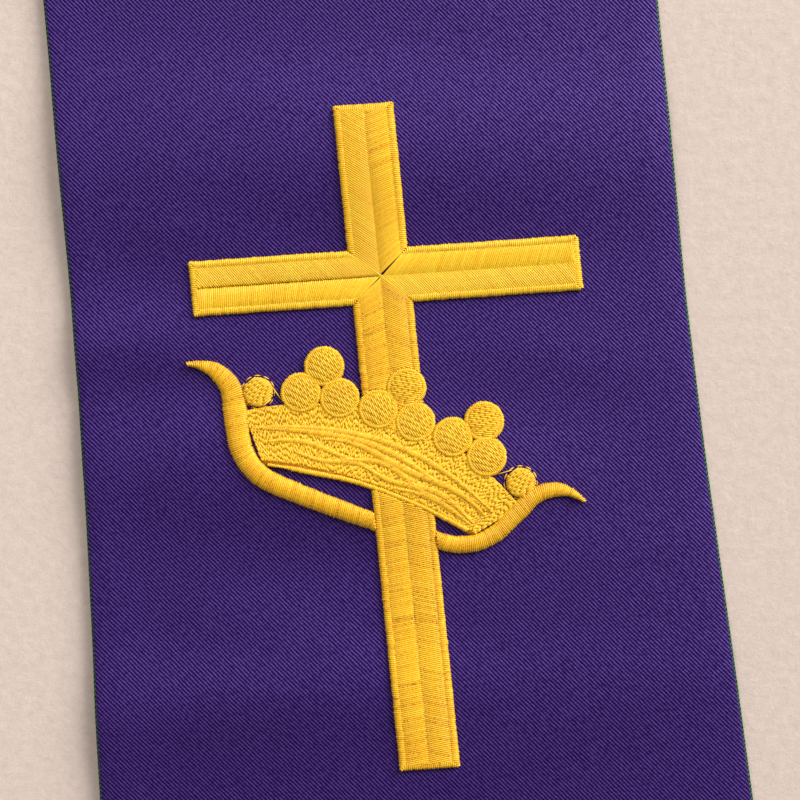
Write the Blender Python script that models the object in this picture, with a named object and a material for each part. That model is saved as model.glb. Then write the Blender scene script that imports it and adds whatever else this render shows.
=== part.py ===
"""A reversible clerical stole laid out flat, with a cross and crown embroidered near each end.

Two halves meet in a seam at the centre back. Each half is a face cloth on a back cloth, in two
parts: the front, and the neck that bends to the seam. Each front carries its embroidery as low
solids that lie on the face cloth.
Metres, +Z up. The surface is z = 0, and the origin is the middle of the outline on it.
"""

import math
from collections import namedtuple

import bmesh
import bpy

MM = 0.001

# The cut of one half, measured along its middle from the hem to the centre back
HALF_LENGTH = 1330 * MM
LEAN = math.radians(5.35)
NECK_HEADING = math.radians(55)
NECK_RADIUS = 230 * MM
NECK_RUN = 45 * MM
SEAM_GAP = 0.3 * MM

NECK_ARC = NECK_RADIUS * (NECK_HEADING - LEAN)
STRAIGHT = HALF_LENGTH - NECK_ARC - NECK_RUN

# The two cloths
CLOTH = 1.0 * MM
LAYER_GAP = 0.3 * MM
BACK_PEEK = 0.5 * MM
FACE_TOP = 2 * CLOTH + LAYER_GAP

Width = namedtuple("Width", "from_hem width")
WIDTHS = (
    Width(0, 144.7 * MM),
    Width(168 * MM, 130.1 * MM),
    Width(200 * MM, 128.3 * MM),
    Width(232 * MM, 128 * MM),
    Width(1030 * MM, 128 * MM),
    Width(HALF_LENGTH, 104 * MM),
)

# Soft ridges, in millimetres and degrees: where the middle of each lies, and its turn from straight across
Crease = namedtuple("Crease", "half from_hem across turn half_length half_width height")
CREASES = (
    Crease("right", 118, -8, -3, 120, 21, 1.3),
    Crease("right", 166, 6, -9, 112, 19, 1.1),
    Crease("right", 201, -56, 4, 30, 11, 0.8),
    Crease("right", 237, 0, -3, 125, 27, 1.5),
    Crease("right", 318, 20, 5, 95, 30, 2.0),
    Crease("right", 432, -18, -7, 110, 34, 2.4),
    Crease("right", 655, 24, 8, 90, 36, 1.8),
    Crease("right", 792, -12, -4, 120, 40, 2.6),
    Crease("right", 930, 30, 10, 75, 34, 1.6),
    Crease("right", 1096, -20, -12, 80, 38, 2.2),
    Crease("left", 112, 14, 4, 115, 22, 1.2),
    Crease("left", 176, -10, -6, 110, 20, 1.2),
    Crease("left", 244, 8, 3, 120, 26, 1.5),
    Crease("left", 352, -26, -8, 85, 32, 2.1),
    Crease("left", 497, 12, 5, 115, 36, 2.5),
    Crease("left", 716, -22, -5, 90, 34, 1.7),
    Crease("left", 868, 16, 9, 105, 38, 2.3),
    Crease("left", 1012, -8, -4, 80, 34, 1.6),
    Crease("left", 1124, 24, 10, 75, 36, 2.0),
)

# Rows of the cloth mesh: closer together under the embroidery
Stretch = namedtuple("Stretch", "start end step")
STRETCHES = (
    Stretch(0, 96 * MM, 16 * MM),
    Stretch(96 * MM, 256 * MM, 8 * MM),
    Stretch(256 * MM, STRAIGHT, 23 * MM),
    Stretch(STRAIGHT, STRAIGHT + NECK_ARC, 15.5 * MM),
)
MITRE_ROWS = 3
COLUMNS = (-1, -0.6, -0.2, 0.2, 0.6, 1)

# Embroidery: how high it stands over the face cloth
EDGE_RISE = 0.6 * MM
BORDER_RISE = 1.2 * MM
COLUMN_RISE = 1.3 * MM
VALLEY_RISE = 1.0 * MM
RIM_RISE = 1.6 * MM
PEARL_RISE = 1.5 * MM
BAND_RISE = 1.0 * MM
STITCH_GAP = 0.3 * MM
CLEARANCE = 0.5 * MM

# The cross, from its crossing
CROSS_FROM_HEM = 210.4 * MM
CROSS_ACROSS = 0.8 * MM
SHAFT_TURN = math.radians(0.43)
ARM_TURN = math.radians(-1.39)
SHAFT_WIDTH = 12.4 * MM
ARM_WIDTH = 11.5 * MM
SHAFT_UP = 36.0 * MM
SHAFT_DOWN = 103.7 * MM
ARM_INNER = 39.8 * MM
ARM_OUTER = 42.1 * MM
BORDER = 1.2 * MM
COLUMN_CREST = 2.4 * MM
CROSS_STEP = 7.5 * MM
WALK_STEP = 0.1 * MM
SHORT_ROWS = 3

# The crown, in its own tilted frame: lateral to its right, up to its top
CROWN_ACROSS = 1.7 * MM
CROWN_BELOW = -27.2 * MM
CROWN_TILT = math.radians(24.35)
PEARL = 3.9 * MM
END_PEARL = 3.0 * MM
END_PEARL_AT = (28.3 * MM, -6.3 * MM)
CLUSTER_RADIUS = 4.75 * MM
CLUSTER_SPACING = 17.0 * MM
CLUSTER_DROP = 1.3 * MM
CLUSTER_FAN = math.radians(11)
PEARL_SIDES = 14
PEARL_SHOULDER = 0.6
SHOULDER_RISE = 0.9 * PEARL_RISE

BAND_FOOT = 21.8 * MM
BAND_HEAD = 28.8 * MM
BAND_LOWER_MIDDLE = -18.8 * MM
BAND_LOWER_END = -20.9 * MM
BAND_UPPER_MIDDLE = -3.4 * MM
BAND_UPPER_END = -11.4 * MM
BAND_COLUMNS = 28
BAND_ROWS = 3

# The rim runs from under the crown's middle out to its curled tip, as arcs: length and turn of each
RIM_START = -24.9 * MM
Arc = namedtuple("Arc", "length turn")
RIM_ARCS = (
    Arc(18.7 * MM, math.radians(4)),
    Arc(13.1 * MM, math.radians(60)),
    Arc(7.5 * MM, 0),
    Arc(11.3 * MM, math.radians(-77)),
    Arc(2.5 * MM, math.radians(-11)),
)
RIM_STEP = 2.2 * MM
RimWidth = namedtuple("RimWidth", "share width")
RIM_WIDTHS = (
    RimWidth(0, 3.8 * MM),
    RimWidth(0.45, 4.3 * MM),
    RimWidth(0.72, 4.8 * MM),
    RimWidth(0.88, 3.6 * MM),
    RimWidth(1, 0.7 * MM),
)
RIM_SHOULDER = 0.55
RIM_SHOULDER_RISE = 0.85 * RIM_RISE
RIM_PROFILE = (
    (-1, EDGE_RISE),
    (-RIM_SHOULDER, RIM_SHOULDER_RISE),
    (0, RIM_RISE),
    (RIM_SHOULDER, RIM_SHOULDER_RISE),
    (1, EDGE_RISE),
)

# Colours in linear light, and roughness
Finish = namedtuple("Finish", "name colour roughness")
PURPLE = Finish("purple_twill", (0.052, 0.027, 0.150), 0.75)
GREEN = Finish("green_twill", (0.012, 0.120, 0.035), 0.75)
GOLD = Finish("gold_thread", (0.860, 0.480, 0.030), 0.40)


def between(table, at):
    """The second column of a two-column table at a value of its first, in straight runs."""
    for (low, first), (high, last) in zip(table, table[1:]):
        if at <= high:
            share = max(0.0, (at - low) / (high - low))
            return first + share * (last - first)
    return table[-1][1]


def heading(from_hem):
    """How far the middle of the half leans in, at a distance from the hem."""
    along_arc = min(max(from_hem - STRAIGHT, 0), NECK_ARC)
    return LEAN + along_arc / NECK_RADIUS


def middle(from_hem):
    """The middle of the right half, with the centre back on x = 0 and the hem's middle on y = 0."""
    hem_x = (
        STRAIGHT * math.sin(LEAN)
        + NECK_RADIUS * (math.cos(LEAN) - math.cos(NECK_HEADING))
        + NECK_RUN * math.sin(NECK_HEADING)
    )
    run = min(from_hem, STRAIGHT)
    x, y = hem_x - run * math.sin(LEAN), run * math.cos(LEAN)
    turned = heading(from_hem)
    x -= NECK_RADIUS * (math.cos(LEAN) - math.cos(turned))
    y += NECK_RADIUS * (math.sin(turned) - math.sin(LEAN))
    run = max(from_hem - STRAIGHT - NECK_ARC, 0)
    return x - run * math.sin(NECK_HEADING), y + run * math.cos(NECK_HEADING)


def half_width(from_hem):
    return between(WIDTHS, from_hem) / 2


def flat_point(from_hem, across):
    """The place on the surface of a point of the right half. Across is positive outwards."""
    x, y = middle(from_hem)
    turned = heading(from_hem)
    return x + across * math.cos(turned), y + across * math.sin(turned)


def mitre_point(across):
    """Where a thread that runs up the right half meets the centre-back seam."""
    x, y = flat_point(STRAIGHT + NECK_ARC, across)
    run = (x - SEAM_GAP / 2) / math.sin(NECK_HEADING)
    return SEAM_GAP / 2, y + run * math.cos(NECK_HEADING)


def outline_middle():
    """Halfway between the lowest corner of the hem and the peak at the centre back."""
    reach = half_width(0) + BACK_PEEK
    lowest = flat_point(-BACK_PEEK, -reach)[1]
    highest = mitre_point(half_width(HALF_LENGTH - NECK_RUN) + BACK_PEEK)[1]
    return (lowest + highest) / 2


def rise(half, from_hem, across):
    """How far the creases of one half lift it off the surface."""
    total = 0.0
    for crease in CREASES:
        if crease.half != half:
            continue
        turn = math.radians(crease.turn)
        along = from_hem - crease.from_hem * MM
        aside = across - crease.across * MM
        length = (aside * math.cos(turn) + along * math.sin(turn)) / (crease.half_length * MM)
        width = (along * math.cos(turn) - aside * math.sin(turn)) / (crease.half_width * MM)
        if abs(length) < 1 and abs(width) < 1:
            crest = math.cos(math.pi / 2 * length) ** 2
            total += crease.height * MM * crest * math.cos(math.pi / 2 * width) ** 2
    return total


def stations():
    """Distances from the hem of the cloth's rows, up to the end of the neck's arc."""
    found = []
    for stretch in STRETCHES:
        count = max(1, round((stretch.end - stretch.start) / stretch.step))
        found += [
            stretch.start + (stretch.end - stretch.start) * i / count for i in range(count)
        ]
    return found + [STRAIGHT + NECK_ARC]


STATIONS = stations()


def panel_rise(half, from_hem, across):
    """The creases' rise on the cloth's own triangles, so that what lies on them keeps its gap."""
    row = max(i for i, station in enumerate(STATIONS[:-1]) if station <= from_hem)
    low, high = STATIONS[row], STATIONS[row + 1]
    up = (from_hem - low) / (high - low)
    share = across / half_width(from_hem)
    column = max(i for i, c in enumerate(COLUMNS[:-1]) if c <= max(share, -1))
    left, right = COLUMNS[column], COLUMNS[column + 1]
    over = (share - left) / (right - left)

    def corner(station, side):
        return rise(half, station, side * half_width(station))

    start, end = corner(low, left), corner(high, right)
    if over >= up:
        turn = corner(low, right)
        return start + over * (turn - start) + up * (end - turn)
    turn = corner(high, left)
    return start + up * (turn - start) + over * (end - turn)


def sign(half):
    return 1 if half == "right" else -1


def material(finish):
    """The named material, made once."""
    made = bpy.data.materials.get(finish.name)
    if made is None:
        made = bpy.data.materials.new(finish.name)
        made.use_nodes = True
        shader = made.node_tree.nodes["Principled BSDF"]
        shader.inputs["Base Color"].default_value = (*finish.colour, 1)
        shader.inputs["Roughness"].default_value = finish.roughness
    return made


def add_solid(name, points, faces, finish):
    """A closed mesh object, with its faces turned outwards."""
    mesh = bpy.data.meshes.new(name)
    mesh.from_pydata(points, [], faces)
    shaped = bmesh.new()
    shaped.from_mesh(mesh)
    bmesh.ops.recalc_face_normals(shaped, faces=shaped.faces)
    shaped.to_mesh(mesh)
    shaped.free()
    mesh.materials.append(material(finish))
    bpy.context.scene.collection.objects.link(bpy.data.objects.new(name, mesh))


def wall(lower, upper, faces):
    """Points and faces of the solid between two sheets of matching points, closed along their outline."""
    count = len(lower)
    turned = [tuple(count + i for i in face) for face in faces]
    edges = {}
    for face in faces:
        for a, b in zip(face, face[1:] + face[:1]):
            key = (min(a, b), max(a, b))
            edges[key] = edges.get(key, 0) + 1
    rim = [(a, b, count + b, count + a) for (a, b), uses in edges.items() if uses == 1]
    return [*lower, *upper], [tuple(reversed(face)) for face in faces] + turned + rim


def cloth_rows(half, places, peek):
    """Rows of (x, y, rise) across a cloth at distances from the hem."""
    middle_y = outline_middle()
    rows = []
    for station in places:
        reach = half_width(station)
        row = []
        for share in COLUMNS:
            along = station - peek if station == 0 else station
            x, y = flat_point(along, share * (reach + peek))
            row.append((x, y - middle_y, rise(half, station, share * reach)))
        rows.append(row)
    return rows


def mitre_rows(peek):
    """Flat rows of (x, y, rise) from the end of the neck's arc to the centre-back seam."""
    middle_y = outline_middle()
    reach = half_width(HALF_LENGTH - NECK_RUN) + peek
    rows = []
    for step in range(1, MITRE_ROWS + 1):
        row = []
        for share in COLUMNS:
            start = flat_point(STRAIGHT + NECK_ARC, share * reach)
            end_x, end_y = mitre_point(share * reach)
            along = step / MITRE_ROWS
            x = start[0] + along * (end_x - start[0])
            y = start[1] + along * (end_y - start[1])
            row.append((x, y - middle_y, 0.0))
        rows.append(row)
    return rows


def front_rows(half, peek):
    """Rows of a front, from the hem to where the neck begins to bend."""
    return cloth_rows(half, [place for place in STATIONS if place <= STRAIGHT], peek)


def neck_rows(half, peek):
    """Rows of a neck, from its front to the centre-back seam."""
    bend = [place for place in STATIONS if place > STRAIGHT]
    return cloth_rows(half, [STRAIGHT + SEAM_GAP, *bend], peek) + mitre_rows(peek)


def add_cloth(name, half, rows, bottom, finish):
    """One part of a cloth: a wall of even thickness that follows the creases."""
    side = sign(half)
    lower = [(side * x, y, bottom + lift) for row in rows for x, y, lift in row]
    upper = [(x, y, z + CLOTH) for x, y, z in lower]
    across = len(COLUMNS)
    faces = []
    for i in range(len(rows) - 1):
        for j in range(across - 1):
            start = i * across + j
            end = start + across + 1
            faces += [(start, start + 1, end), (start, end, end - 1)]
    add_solid(name, *wall(lower, upper, faces), finish)


def quads(rows):
    """The four-sided faces between rows of points."""
    return [
        (rows[i][j], rows[i][j + 1], rows[i + 1][j + 1], rows[i + 1][j])
        for i in range(len(rows) - 1)
        for j in range(len(rows[0]) - 1)
    ]


def add_relief(name, half, faces):
    """Embroidery as a low solid on the face cloth.

    A face's corners are (across, up, height), measured from the crossing.
    """
    middle_y = outline_middle()
    index, lower, upper, numbered = {}, [], [], []
    for face in faces:
        corners = []
        for u, v, height in face:
            key = (round(u, 7), round(v, 7))
            if key not in index:
                index[key] = len(lower)
                from_hem, across = CROSS_FROM_HEM + v, CROSS_ACROSS + u
                x, y = flat_point(from_hem, across)
                z = FACE_TOP + STITCH_GAP + panel_rise(half, from_hem, across)
                lower.append((sign(half) * x, y - middle_y, z))
                upper.append((sign(half) * x, y - middle_y, z + height))
            corners.append(index[key])
        numbered.append(tuple(corners))
    add_solid(name, *wall(lower, upper, numbered), GOLD)


def cross_point(p, q):
    """A point of the cross, p along its arms and q up its shaft, with the slight skew of its stitching."""
    u = p * math.cos(ARM_TURN) - q * math.sin(SHAFT_TURN)
    v = p * math.sin(ARM_TURN) + q * math.cos(SHAFT_TURN)
    return u, v


def crown_point(lateral, up):
    """A point of the tilted crown, from the crossing."""
    u = CROWN_ACROSS + lateral * math.cos(CROWN_TILT) + up * math.sin(CROWN_TILT)
    v = CROWN_BELOW - lateral * math.sin(CROWN_TILT) + up * math.cos(CROWN_TILT)
    return u, v


def in_crown(u, v):
    """The crown's own (lateral, up) of a point given from the crossing."""
    du, dv = u - CROWN_ACROSS, v - CROWN_BELOW
    lateral = du * math.cos(CROWN_TILT) - dv * math.sin(CROWN_TILT)
    return lateral, du * math.sin(CROWN_TILT) + dv * math.cos(CROWN_TILT)


def pearls():
    """(lateral, up, radius) of each pearl: one at each end and three clusters of three."""
    lateral, up = END_PEARL_AT
    found = [(-lateral, up, END_PEARL), (lateral, up, END_PEARL)]
    for cluster in (-1, 0, 1):
        for corner in range(3):
            angle = math.radians(90 - 120 * corner) - cluster * CLUSTER_FAN
            found.append(
                (
                    cluster * CLUSTER_SPACING + CLUSTER_RADIUS * math.cos(angle),
                    -abs(cluster) * CLUSTER_DROP + CLUSTER_RADIUS * math.sin(angle),
                    PEARL,
                )
            )
    return found


def sagging(at_middle, at_end, reach, lateral):
    """The height of a shallow bow, from its heights at its middle and at its ends."""
    return at_middle + (at_end - at_middle) * (lateral / reach) ** 2


def band_top(lateral):
    """The band's upper edge: a bow, or the underside of the pearls where they come lower."""
    top = sagging(BAND_UPPER_MIDDLE, BAND_UPPER_END, BAND_HEAD, lateral)
    for x, y, radius in pearls():
        reach = radius + CLEARANCE
        if abs(lateral - x) < reach:
            top = min(top, y - math.sqrt(reach**2 - (lateral - x) ** 2))
    return top


def rim_line():
    """(lateral, up, heading, share of the length) along the rim, from the crown's middle to its tip."""
    total = sum(arc.length for arc in RIM_ARCS)
    x, y, turned, run = 0.0, RIM_START, 0.0, 0.0
    line = [(x, y, turned, 0.0)]
    for arc in RIM_ARCS:
        steps = max(1, round(arc.length / RIM_STEP))
        for _ in range(steps):
            step = arc.length / steps
            turned += arc.turn / steps / 2
            x += step * math.cos(turned)
            y += step * math.sin(turned)
            turned += arc.turn / steps / 2
            run += step
            line.append((x, y, turned, run / total))
    return line


def cross_height(across, half, from_end):
    """The cross's relief: a border bead, then two bulging columns with a valley between them."""
    table = (
        (0, VALLEY_RISE),
        (COLUMN_CREST, COLUMN_RISE),
        (half - BORDER, BORDER_RISE),
        (half, EDGE_RISE),
    )
    end_table = ((0, EDGE_RISE), (BORDER, BORDER_RISE), (2 * BORDER, COLUMN_RISE))
    return min(between(table, abs(across)), between(end_table, from_end))


def lines_across(half):
    return (-half, BORDER - half, -COLUMN_CREST, 0, COLUMN_CREST, half - BORDER, half)


def lines_along(start, end):
    """Places along a stroke from where it begins to its end, with one at the inside of the end's border."""
    inner = end - math.copysign(BORDER, end - start)
    count = max(1, round(abs(inner - start) / CROSS_STEP))
    return [start + (inner - start) * i / count for i in range(count + 1)] + [end]


def meets_crown(p, q):
    """Whether the crown's band or a pearl covers this point of the shaft."""
    lateral, up = in_crown(*cross_point(p, q))
    for x, y, radius in pearls():
        if math.hypot(lateral - x, up - y) < radius + CLEARANCE:
            return True
    low = sagging(BAND_LOWER_MIDDLE, BAND_LOWER_END, BAND_FOOT, lateral) - CLEARANCE
    return low < up < band_top(lateral) + CLEARANCE


def first_clear(p, start, step):
    """Walks down or up the shaft from a point, and returns the last place before the crown."""
    q = start
    while not meets_crown(p, q + step):
        q += step
    return q


def upper_cross():
    """Faces of the arms and the shaft above the crown."""
    shaft, arm = SHAFT_WIDTH / 2, ARM_WIDTH / 2
    faces = []

    def patch(rows, height):
        points = [[(*cross_point(p, q), height(p, q)) for p, q in row] for row in rows]
        faces.extend(quads(points))

    def over_shaft(p, q):
        return cross_height(p, shaft, SHAFT_UP - q)

    def over_arm(p, q):
        reach = ARM_OUTER if p > 0 else ARM_INNER
        return cross_height(q, arm, reach - abs(p))

    def over_crossing(p, q):
        if abs(p) / shaft > abs(q) / arm:
            return over_arm(p, q)
        return over_shaft(p, q)

    columns, rows = lines_across(shaft), lines_across(arm)
    patch([[(p, q) for p in columns] for q in rows], over_crossing)
    patch([[(p, q) for p in columns] for q in lines_along(arm, SHAFT_UP)], over_shaft)
    for end in (-ARM_INNER, ARM_OUTER):
        along = lines_along(math.copysign(shaft, end), end)
        patch([[(p, q) for q in rows] for p in along], over_arm)
    ends = {p: first_clear(p, -arm - BORDER, -WALK_STEP) for p in columns}
    down = [i / SHORT_ROWS for i in range(SHORT_ROWS + 1)]
    patch([[(p, share * (ends[p] + arm) - arm) for p in columns] for share in down], over_shaft)
    return faces


def lower_cross():
    """Faces of the shaft below the crown."""
    shaft = SHAFT_WIDTH / 2
    columns = lines_across(shaft)
    reaches = {p: first_clear(p, BORDER - SHAFT_DOWN, WALK_STEP) + SHAFT_DOWN for p in columns}
    shortest = min(reaches.values())
    rows = []
    for from_end in reversed(lines_along(shortest, 0)):
        stretch = from_end / shortest
        row = []
        for p in columns:
            run = stretch * reaches[p]
            row.append((*cross_point(p, run - SHAFT_DOWN), cross_height(p, shaft, run)))
        rows.append(row)
    return quads(rows)


def crown_band():
    """Faces of the band between its lower bow and the pearls."""
    rows = []
    for i in range(BAND_ROWS + 1):
        share = i / BAND_ROWS
        row = []
        for j in range(BAND_COLUMNS + 1):
            side = 2 * j / BAND_COLUMNS - 1
            head = side * BAND_HEAD
            foot = side * BAND_FOOT
            top = band_top(head)
            bottom = sagging(BAND_LOWER_MIDDLE, BAND_LOWER_END, BAND_FOOT, foot)
            lateral, up = foot + share * (head - foot), bottom + share * (top - bottom)
            inside = 0 < i < BAND_ROWS and 0 < j < BAND_COLUMNS
            row.append((*crown_point(lateral, up), BAND_RISE if inside else EDGE_RISE))
        rows.append(row)
    return quads(rows)


def crown_rim(side):
    """Faces of one side of the rim, from the shaft's edge out to the tip. Side -1 is the inner one."""
    edge = SHAFT_WIDTH / 2 + STITCH_GAP
    rows = []
    for x, y, turned, share in rim_line():
        reach = between(RIM_WIDTHS, share) / 2
        row = []
        for offset, height in RIM_PROFILE:
            lateral = side * (x - offset * reach * math.sin(turned))
            up = y + offset * reach * math.cos(turned)
            row.append((*crown_point(lateral, up), height))
        rows.append(row)
    clear = [row for row in rows if all(shaft_offset(u, v) * side > edge for u, v, _ in row)]
    first = rows[rows.index(clear[0]) - 1]
    cut = []
    for (u, v, height), (u_next, v_next, _) in zip(first, clear[0]):
        here, there = shaft_offset(u, v) * side, shaft_offset(u_next, v_next) * side
        share = (edge - here) / (there - here)
        cut.append((u + share * (u_next - u), v + share * (v_next - v), height))
    return quads([cut, *clear])


def shaft_offset(u, v):
    """How far along the arms a point lies from the shaft's middle."""
    q = v / math.cos(SHAFT_TURN)
    return (u + q * math.sin(SHAFT_TURN)) / math.cos(ARM_TURN)


def pearl_faces(lateral, up, radius):
    """Faces of one domed pearl."""
    rings = []
    for share, height in ((1, EDGE_RISE), (PEARL_SHOULDER, SHOULDER_RISE)):
        ring = []
        for i in range(PEARL_SIDES):
            angle = 2 * math.pi * i / PEARL_SIDES
            x = lateral + share * radius * math.cos(angle)
            y = up + share * radius * math.sin(angle)
            ring.append((*crown_point(x, y), height))
        rings.append(ring + ring[:1])
    faces = quads(rings)
    top = (*crown_point(lateral, up), PEARL_RISE)
    inner = rings[1]
    return faces + [(inner[i], inner[i + 1], top) for i in range(PEARL_SIDES)]


def build():
    """Clears the scene and makes both halves with their embroidery."""
    for leftover in list(bpy.data.objects):
        bpy.data.objects.remove(leftover)
    for half in ("right", "left"):
        face_bottom = CLOTH + LAYER_GAP
        add_cloth(f"back_front_{half}", half, front_rows(half, BACK_PEEK), 0.0, GREEN)
        add_cloth(f"back_neck_{half}", half, neck_rows(half, BACK_PEEK), 0.0, GREEN)
        add_cloth(f"face_front_{half}", half, front_rows(half, 0.0), face_bottom, PURPLE)
        add_cloth(f"face_neck_{half}", half, neck_rows(half, 0.0), face_bottom, PURPLE)
        add_relief(f"cross_upper_{half}", half, upper_cross())
        add_relief(f"cross_lower_{half}", half, lower_cross())
        add_relief(f"crown_band_{half}", half, crown_band())
        add_relief(f"crown_rim_inner_{half}", half, crown_rim(-1))
        add_relief(f"crown_rim_outer_{half}", half, crown_rim(1))
        for number, pearl in enumerate(pearls(), 1):
            add_relief(f"pearl_{number:02d}_{half}", half, pearl_faces(*pearl))


build()
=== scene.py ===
"""A reversible clerical stole laid flat on pale felt, seen from straight above one of its fronts.

The stole is two halves that meet at the centre back. Each half is a purple gabardine face on a
green gabardine back, and each front carries a cross and crown in gold machine embroidery, whose
stitches are laid one by one. Metres, +Z up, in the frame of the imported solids.
"""

import logging
import math
from dataclasses import dataclass
from enum import Enum
from typing import Callable, Iterable, Sequence

import bpy
import numpy as np
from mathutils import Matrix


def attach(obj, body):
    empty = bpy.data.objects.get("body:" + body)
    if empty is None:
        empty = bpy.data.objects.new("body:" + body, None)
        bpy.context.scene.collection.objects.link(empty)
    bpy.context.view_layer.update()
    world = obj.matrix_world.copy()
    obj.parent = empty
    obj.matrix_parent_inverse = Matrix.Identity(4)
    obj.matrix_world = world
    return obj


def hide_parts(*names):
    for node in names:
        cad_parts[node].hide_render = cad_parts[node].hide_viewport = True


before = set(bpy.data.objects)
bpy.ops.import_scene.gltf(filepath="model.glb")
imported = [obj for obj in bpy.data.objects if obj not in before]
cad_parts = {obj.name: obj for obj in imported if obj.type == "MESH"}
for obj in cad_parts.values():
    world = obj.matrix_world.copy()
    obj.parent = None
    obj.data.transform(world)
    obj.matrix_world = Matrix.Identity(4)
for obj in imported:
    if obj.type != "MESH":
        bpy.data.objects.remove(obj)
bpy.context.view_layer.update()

MM = 0.001
LOG = logging.getLogger("stole")
Points = np.ndarray
Color = tuple[float, float, float, float]
# How far apart a wave texture's bands lie at a scale of one
WAVE_BAND = 0.31416


class Side(Enum):
    """The two halves, seen from above with the neck at the top. The value is the sign of x."""

    RIGHT = 1
    LEFT = -1

    @property
    def half(self) -> str:
        """The half's word in the names of its solids and pieces."""
        return self.name.lower()


class Grain(Enum):
    """Which way the twill's ribs climb, seen from above, for a cloth with its face up or down."""

    FACE_UP = -1
    FACE_DOWN = 1


def linear(code: str) -> Color:
    """Turns an sRGB hex colour into linear light.

    Args:
        code: six hex digits after a hash.

    Returns:
        The colour as red, green, blue and an alpha of one.
    """
    parts = [int(code[i : i + 2], 16) / 255 for i in (1, 3, 5)]
    turned = [c / 12.92 if c <= 0.04045 else ((c + 0.055) / 1.055) ** 2.4 for c in parts]
    return (*turned, 1.0)


def new_material(name: str) -> tuple[bpy.types.Material, bpy.types.NodeTree, bpy.types.Node]:
    """Starts a material.

    Args:
        name: the material's name.

    Returns:
        The material, its node tree and its shader.
    """
    made = bpy.data.materials.new(name)
    made.use_nodes = True
    return made, made.node_tree, made.node_tree.nodes["Principled BSDF"]


def add_node(
    tree: bpy.types.NodeTree,
    kind: str,
    settings: dict,
    links: dict,
    stops: Sequence[tuple[float, str]] = (),
) -> bpy.types.Node:
    """Adds a shader node to a tree, with its settings and links.

    Args:
        tree: the node tree.
        kind: the node's type, without the two words that every shader node's starts with.
        settings: values for the node's properties, or for its inputs by name or number.
        links: output sockets for its inputs, by name or number.
        stops: a colour ramp's stops in order, each a place and an sRGB hex colour.

    Returns:
        The new node.
    """
    node = tree.nodes.new("ShaderNode" + kind)
    for name, value in settings.items():
        if isinstance(name, str) and hasattr(node, name):
            setattr(node, name, value)
        else:
            node.inputs[name].default_value = value
    for name, socket in links.items():
        tree.links.new(socket, node.inputs[name])
    for number, (place, code) in enumerate(stops):
        ramp = node.color_ramp.elements
        # A new ramp has two stops already
        stop = ramp[number] if number < 2 else ramp.new(place)
        stop.position = place
        stop.color = linear(code)
    return node


def smooth_table(rows: Sequence[tuple[float, float]], at: Points) -> Points:
    """Reads a two-column table at many places, in straight runs between its rows.

    Args:
        rows: pairs of a place and a value, in order.
        at: the places to read.

    Returns:
        The values.
    """
    return np.interp(at, [row[0] for row in rows], [row[1] for row in rows])


@dataclass(frozen=True)
class Crease:
    """A soft ridge across a half: its middle, its turn from straight across, and its reach.

    Lengths are in millimetres and the turn in degrees.
    """

    side: Side
    from_hem: float
    across: float
    turn: float
    half_length: float
    half_width: float
    height: float

    def lift(self, from_hem: Points, across: Points) -> Points:
        """Works out how far the ridge lifts the cloth.

        Args:
            from_hem: distances up the half from its hem, in metres.
            across: distances out from the half's middle, in metres.

        Returns:
            The lift at each place, in metres.
        """
        turn = math.radians(self.turn)
        along = from_hem - self.from_hem * MM
        aside = across - self.across * MM
        length = (aside * math.cos(turn) + along * math.sin(turn)) / (self.half_length * MM)
        width = (along * math.cos(turn) - aside * math.sin(turn)) / (self.half_width * MM)
        crest = np.cos(np.pi / 2 * np.clip(length, -1, 1)) ** 2
        return self.height * MM * crest * np.cos(np.pi / 2 * np.clip(width, -1, 1)) ** 2


def creases(side: Side, *rows: Sequence[float]) -> tuple[Crease, ...]:
    """Makes one half's creases, each from its numbers in the order of the fields."""
    return tuple(Crease(side, *row) for row in rows)


# The main ridges, which the solids have too
MAIN_CREASES = creases(
    Side.RIGHT,
    (118, -8, -3, 120, 21, 1.3),
    (166, 6, -9, 112, 19, 1.1),
    (201, -56, 4, 30, 11, 0.8),
    (237, 0, -3, 125, 27, 1.5),
    (318, 20, 5, 95, 30, 2.0),
    (432, -18, -7, 110, 34, 2.4),
    (655, 24, 8, 90, 36, 1.8),
    (792, -12, -4, 120, 40, 2.6),
    (930, 30, 10, 75, 34, 1.6),
    (1096, -20, -12, 80, 38, 2.2),
) + creases(
    Side.LEFT,
    (112, 14, 4, 115, 22, 1.2),
    (176, -10, -6, 110, 20, 1.2),
    (244, 8, 3, 120, 26, 1.5),
    (352, -26, -8, 85, 32, 2.1),
    (497, 12, 5, 115, 36, 2.5),
    (716, -22, -5, 90, 34, 1.7),
    (868, 16, 9, 105, 38, 2.3),
    (1012, -8, -4, 80, 34, 1.6),
    (1124, 24, 10, 75, 36, 2.0),
)

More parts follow.
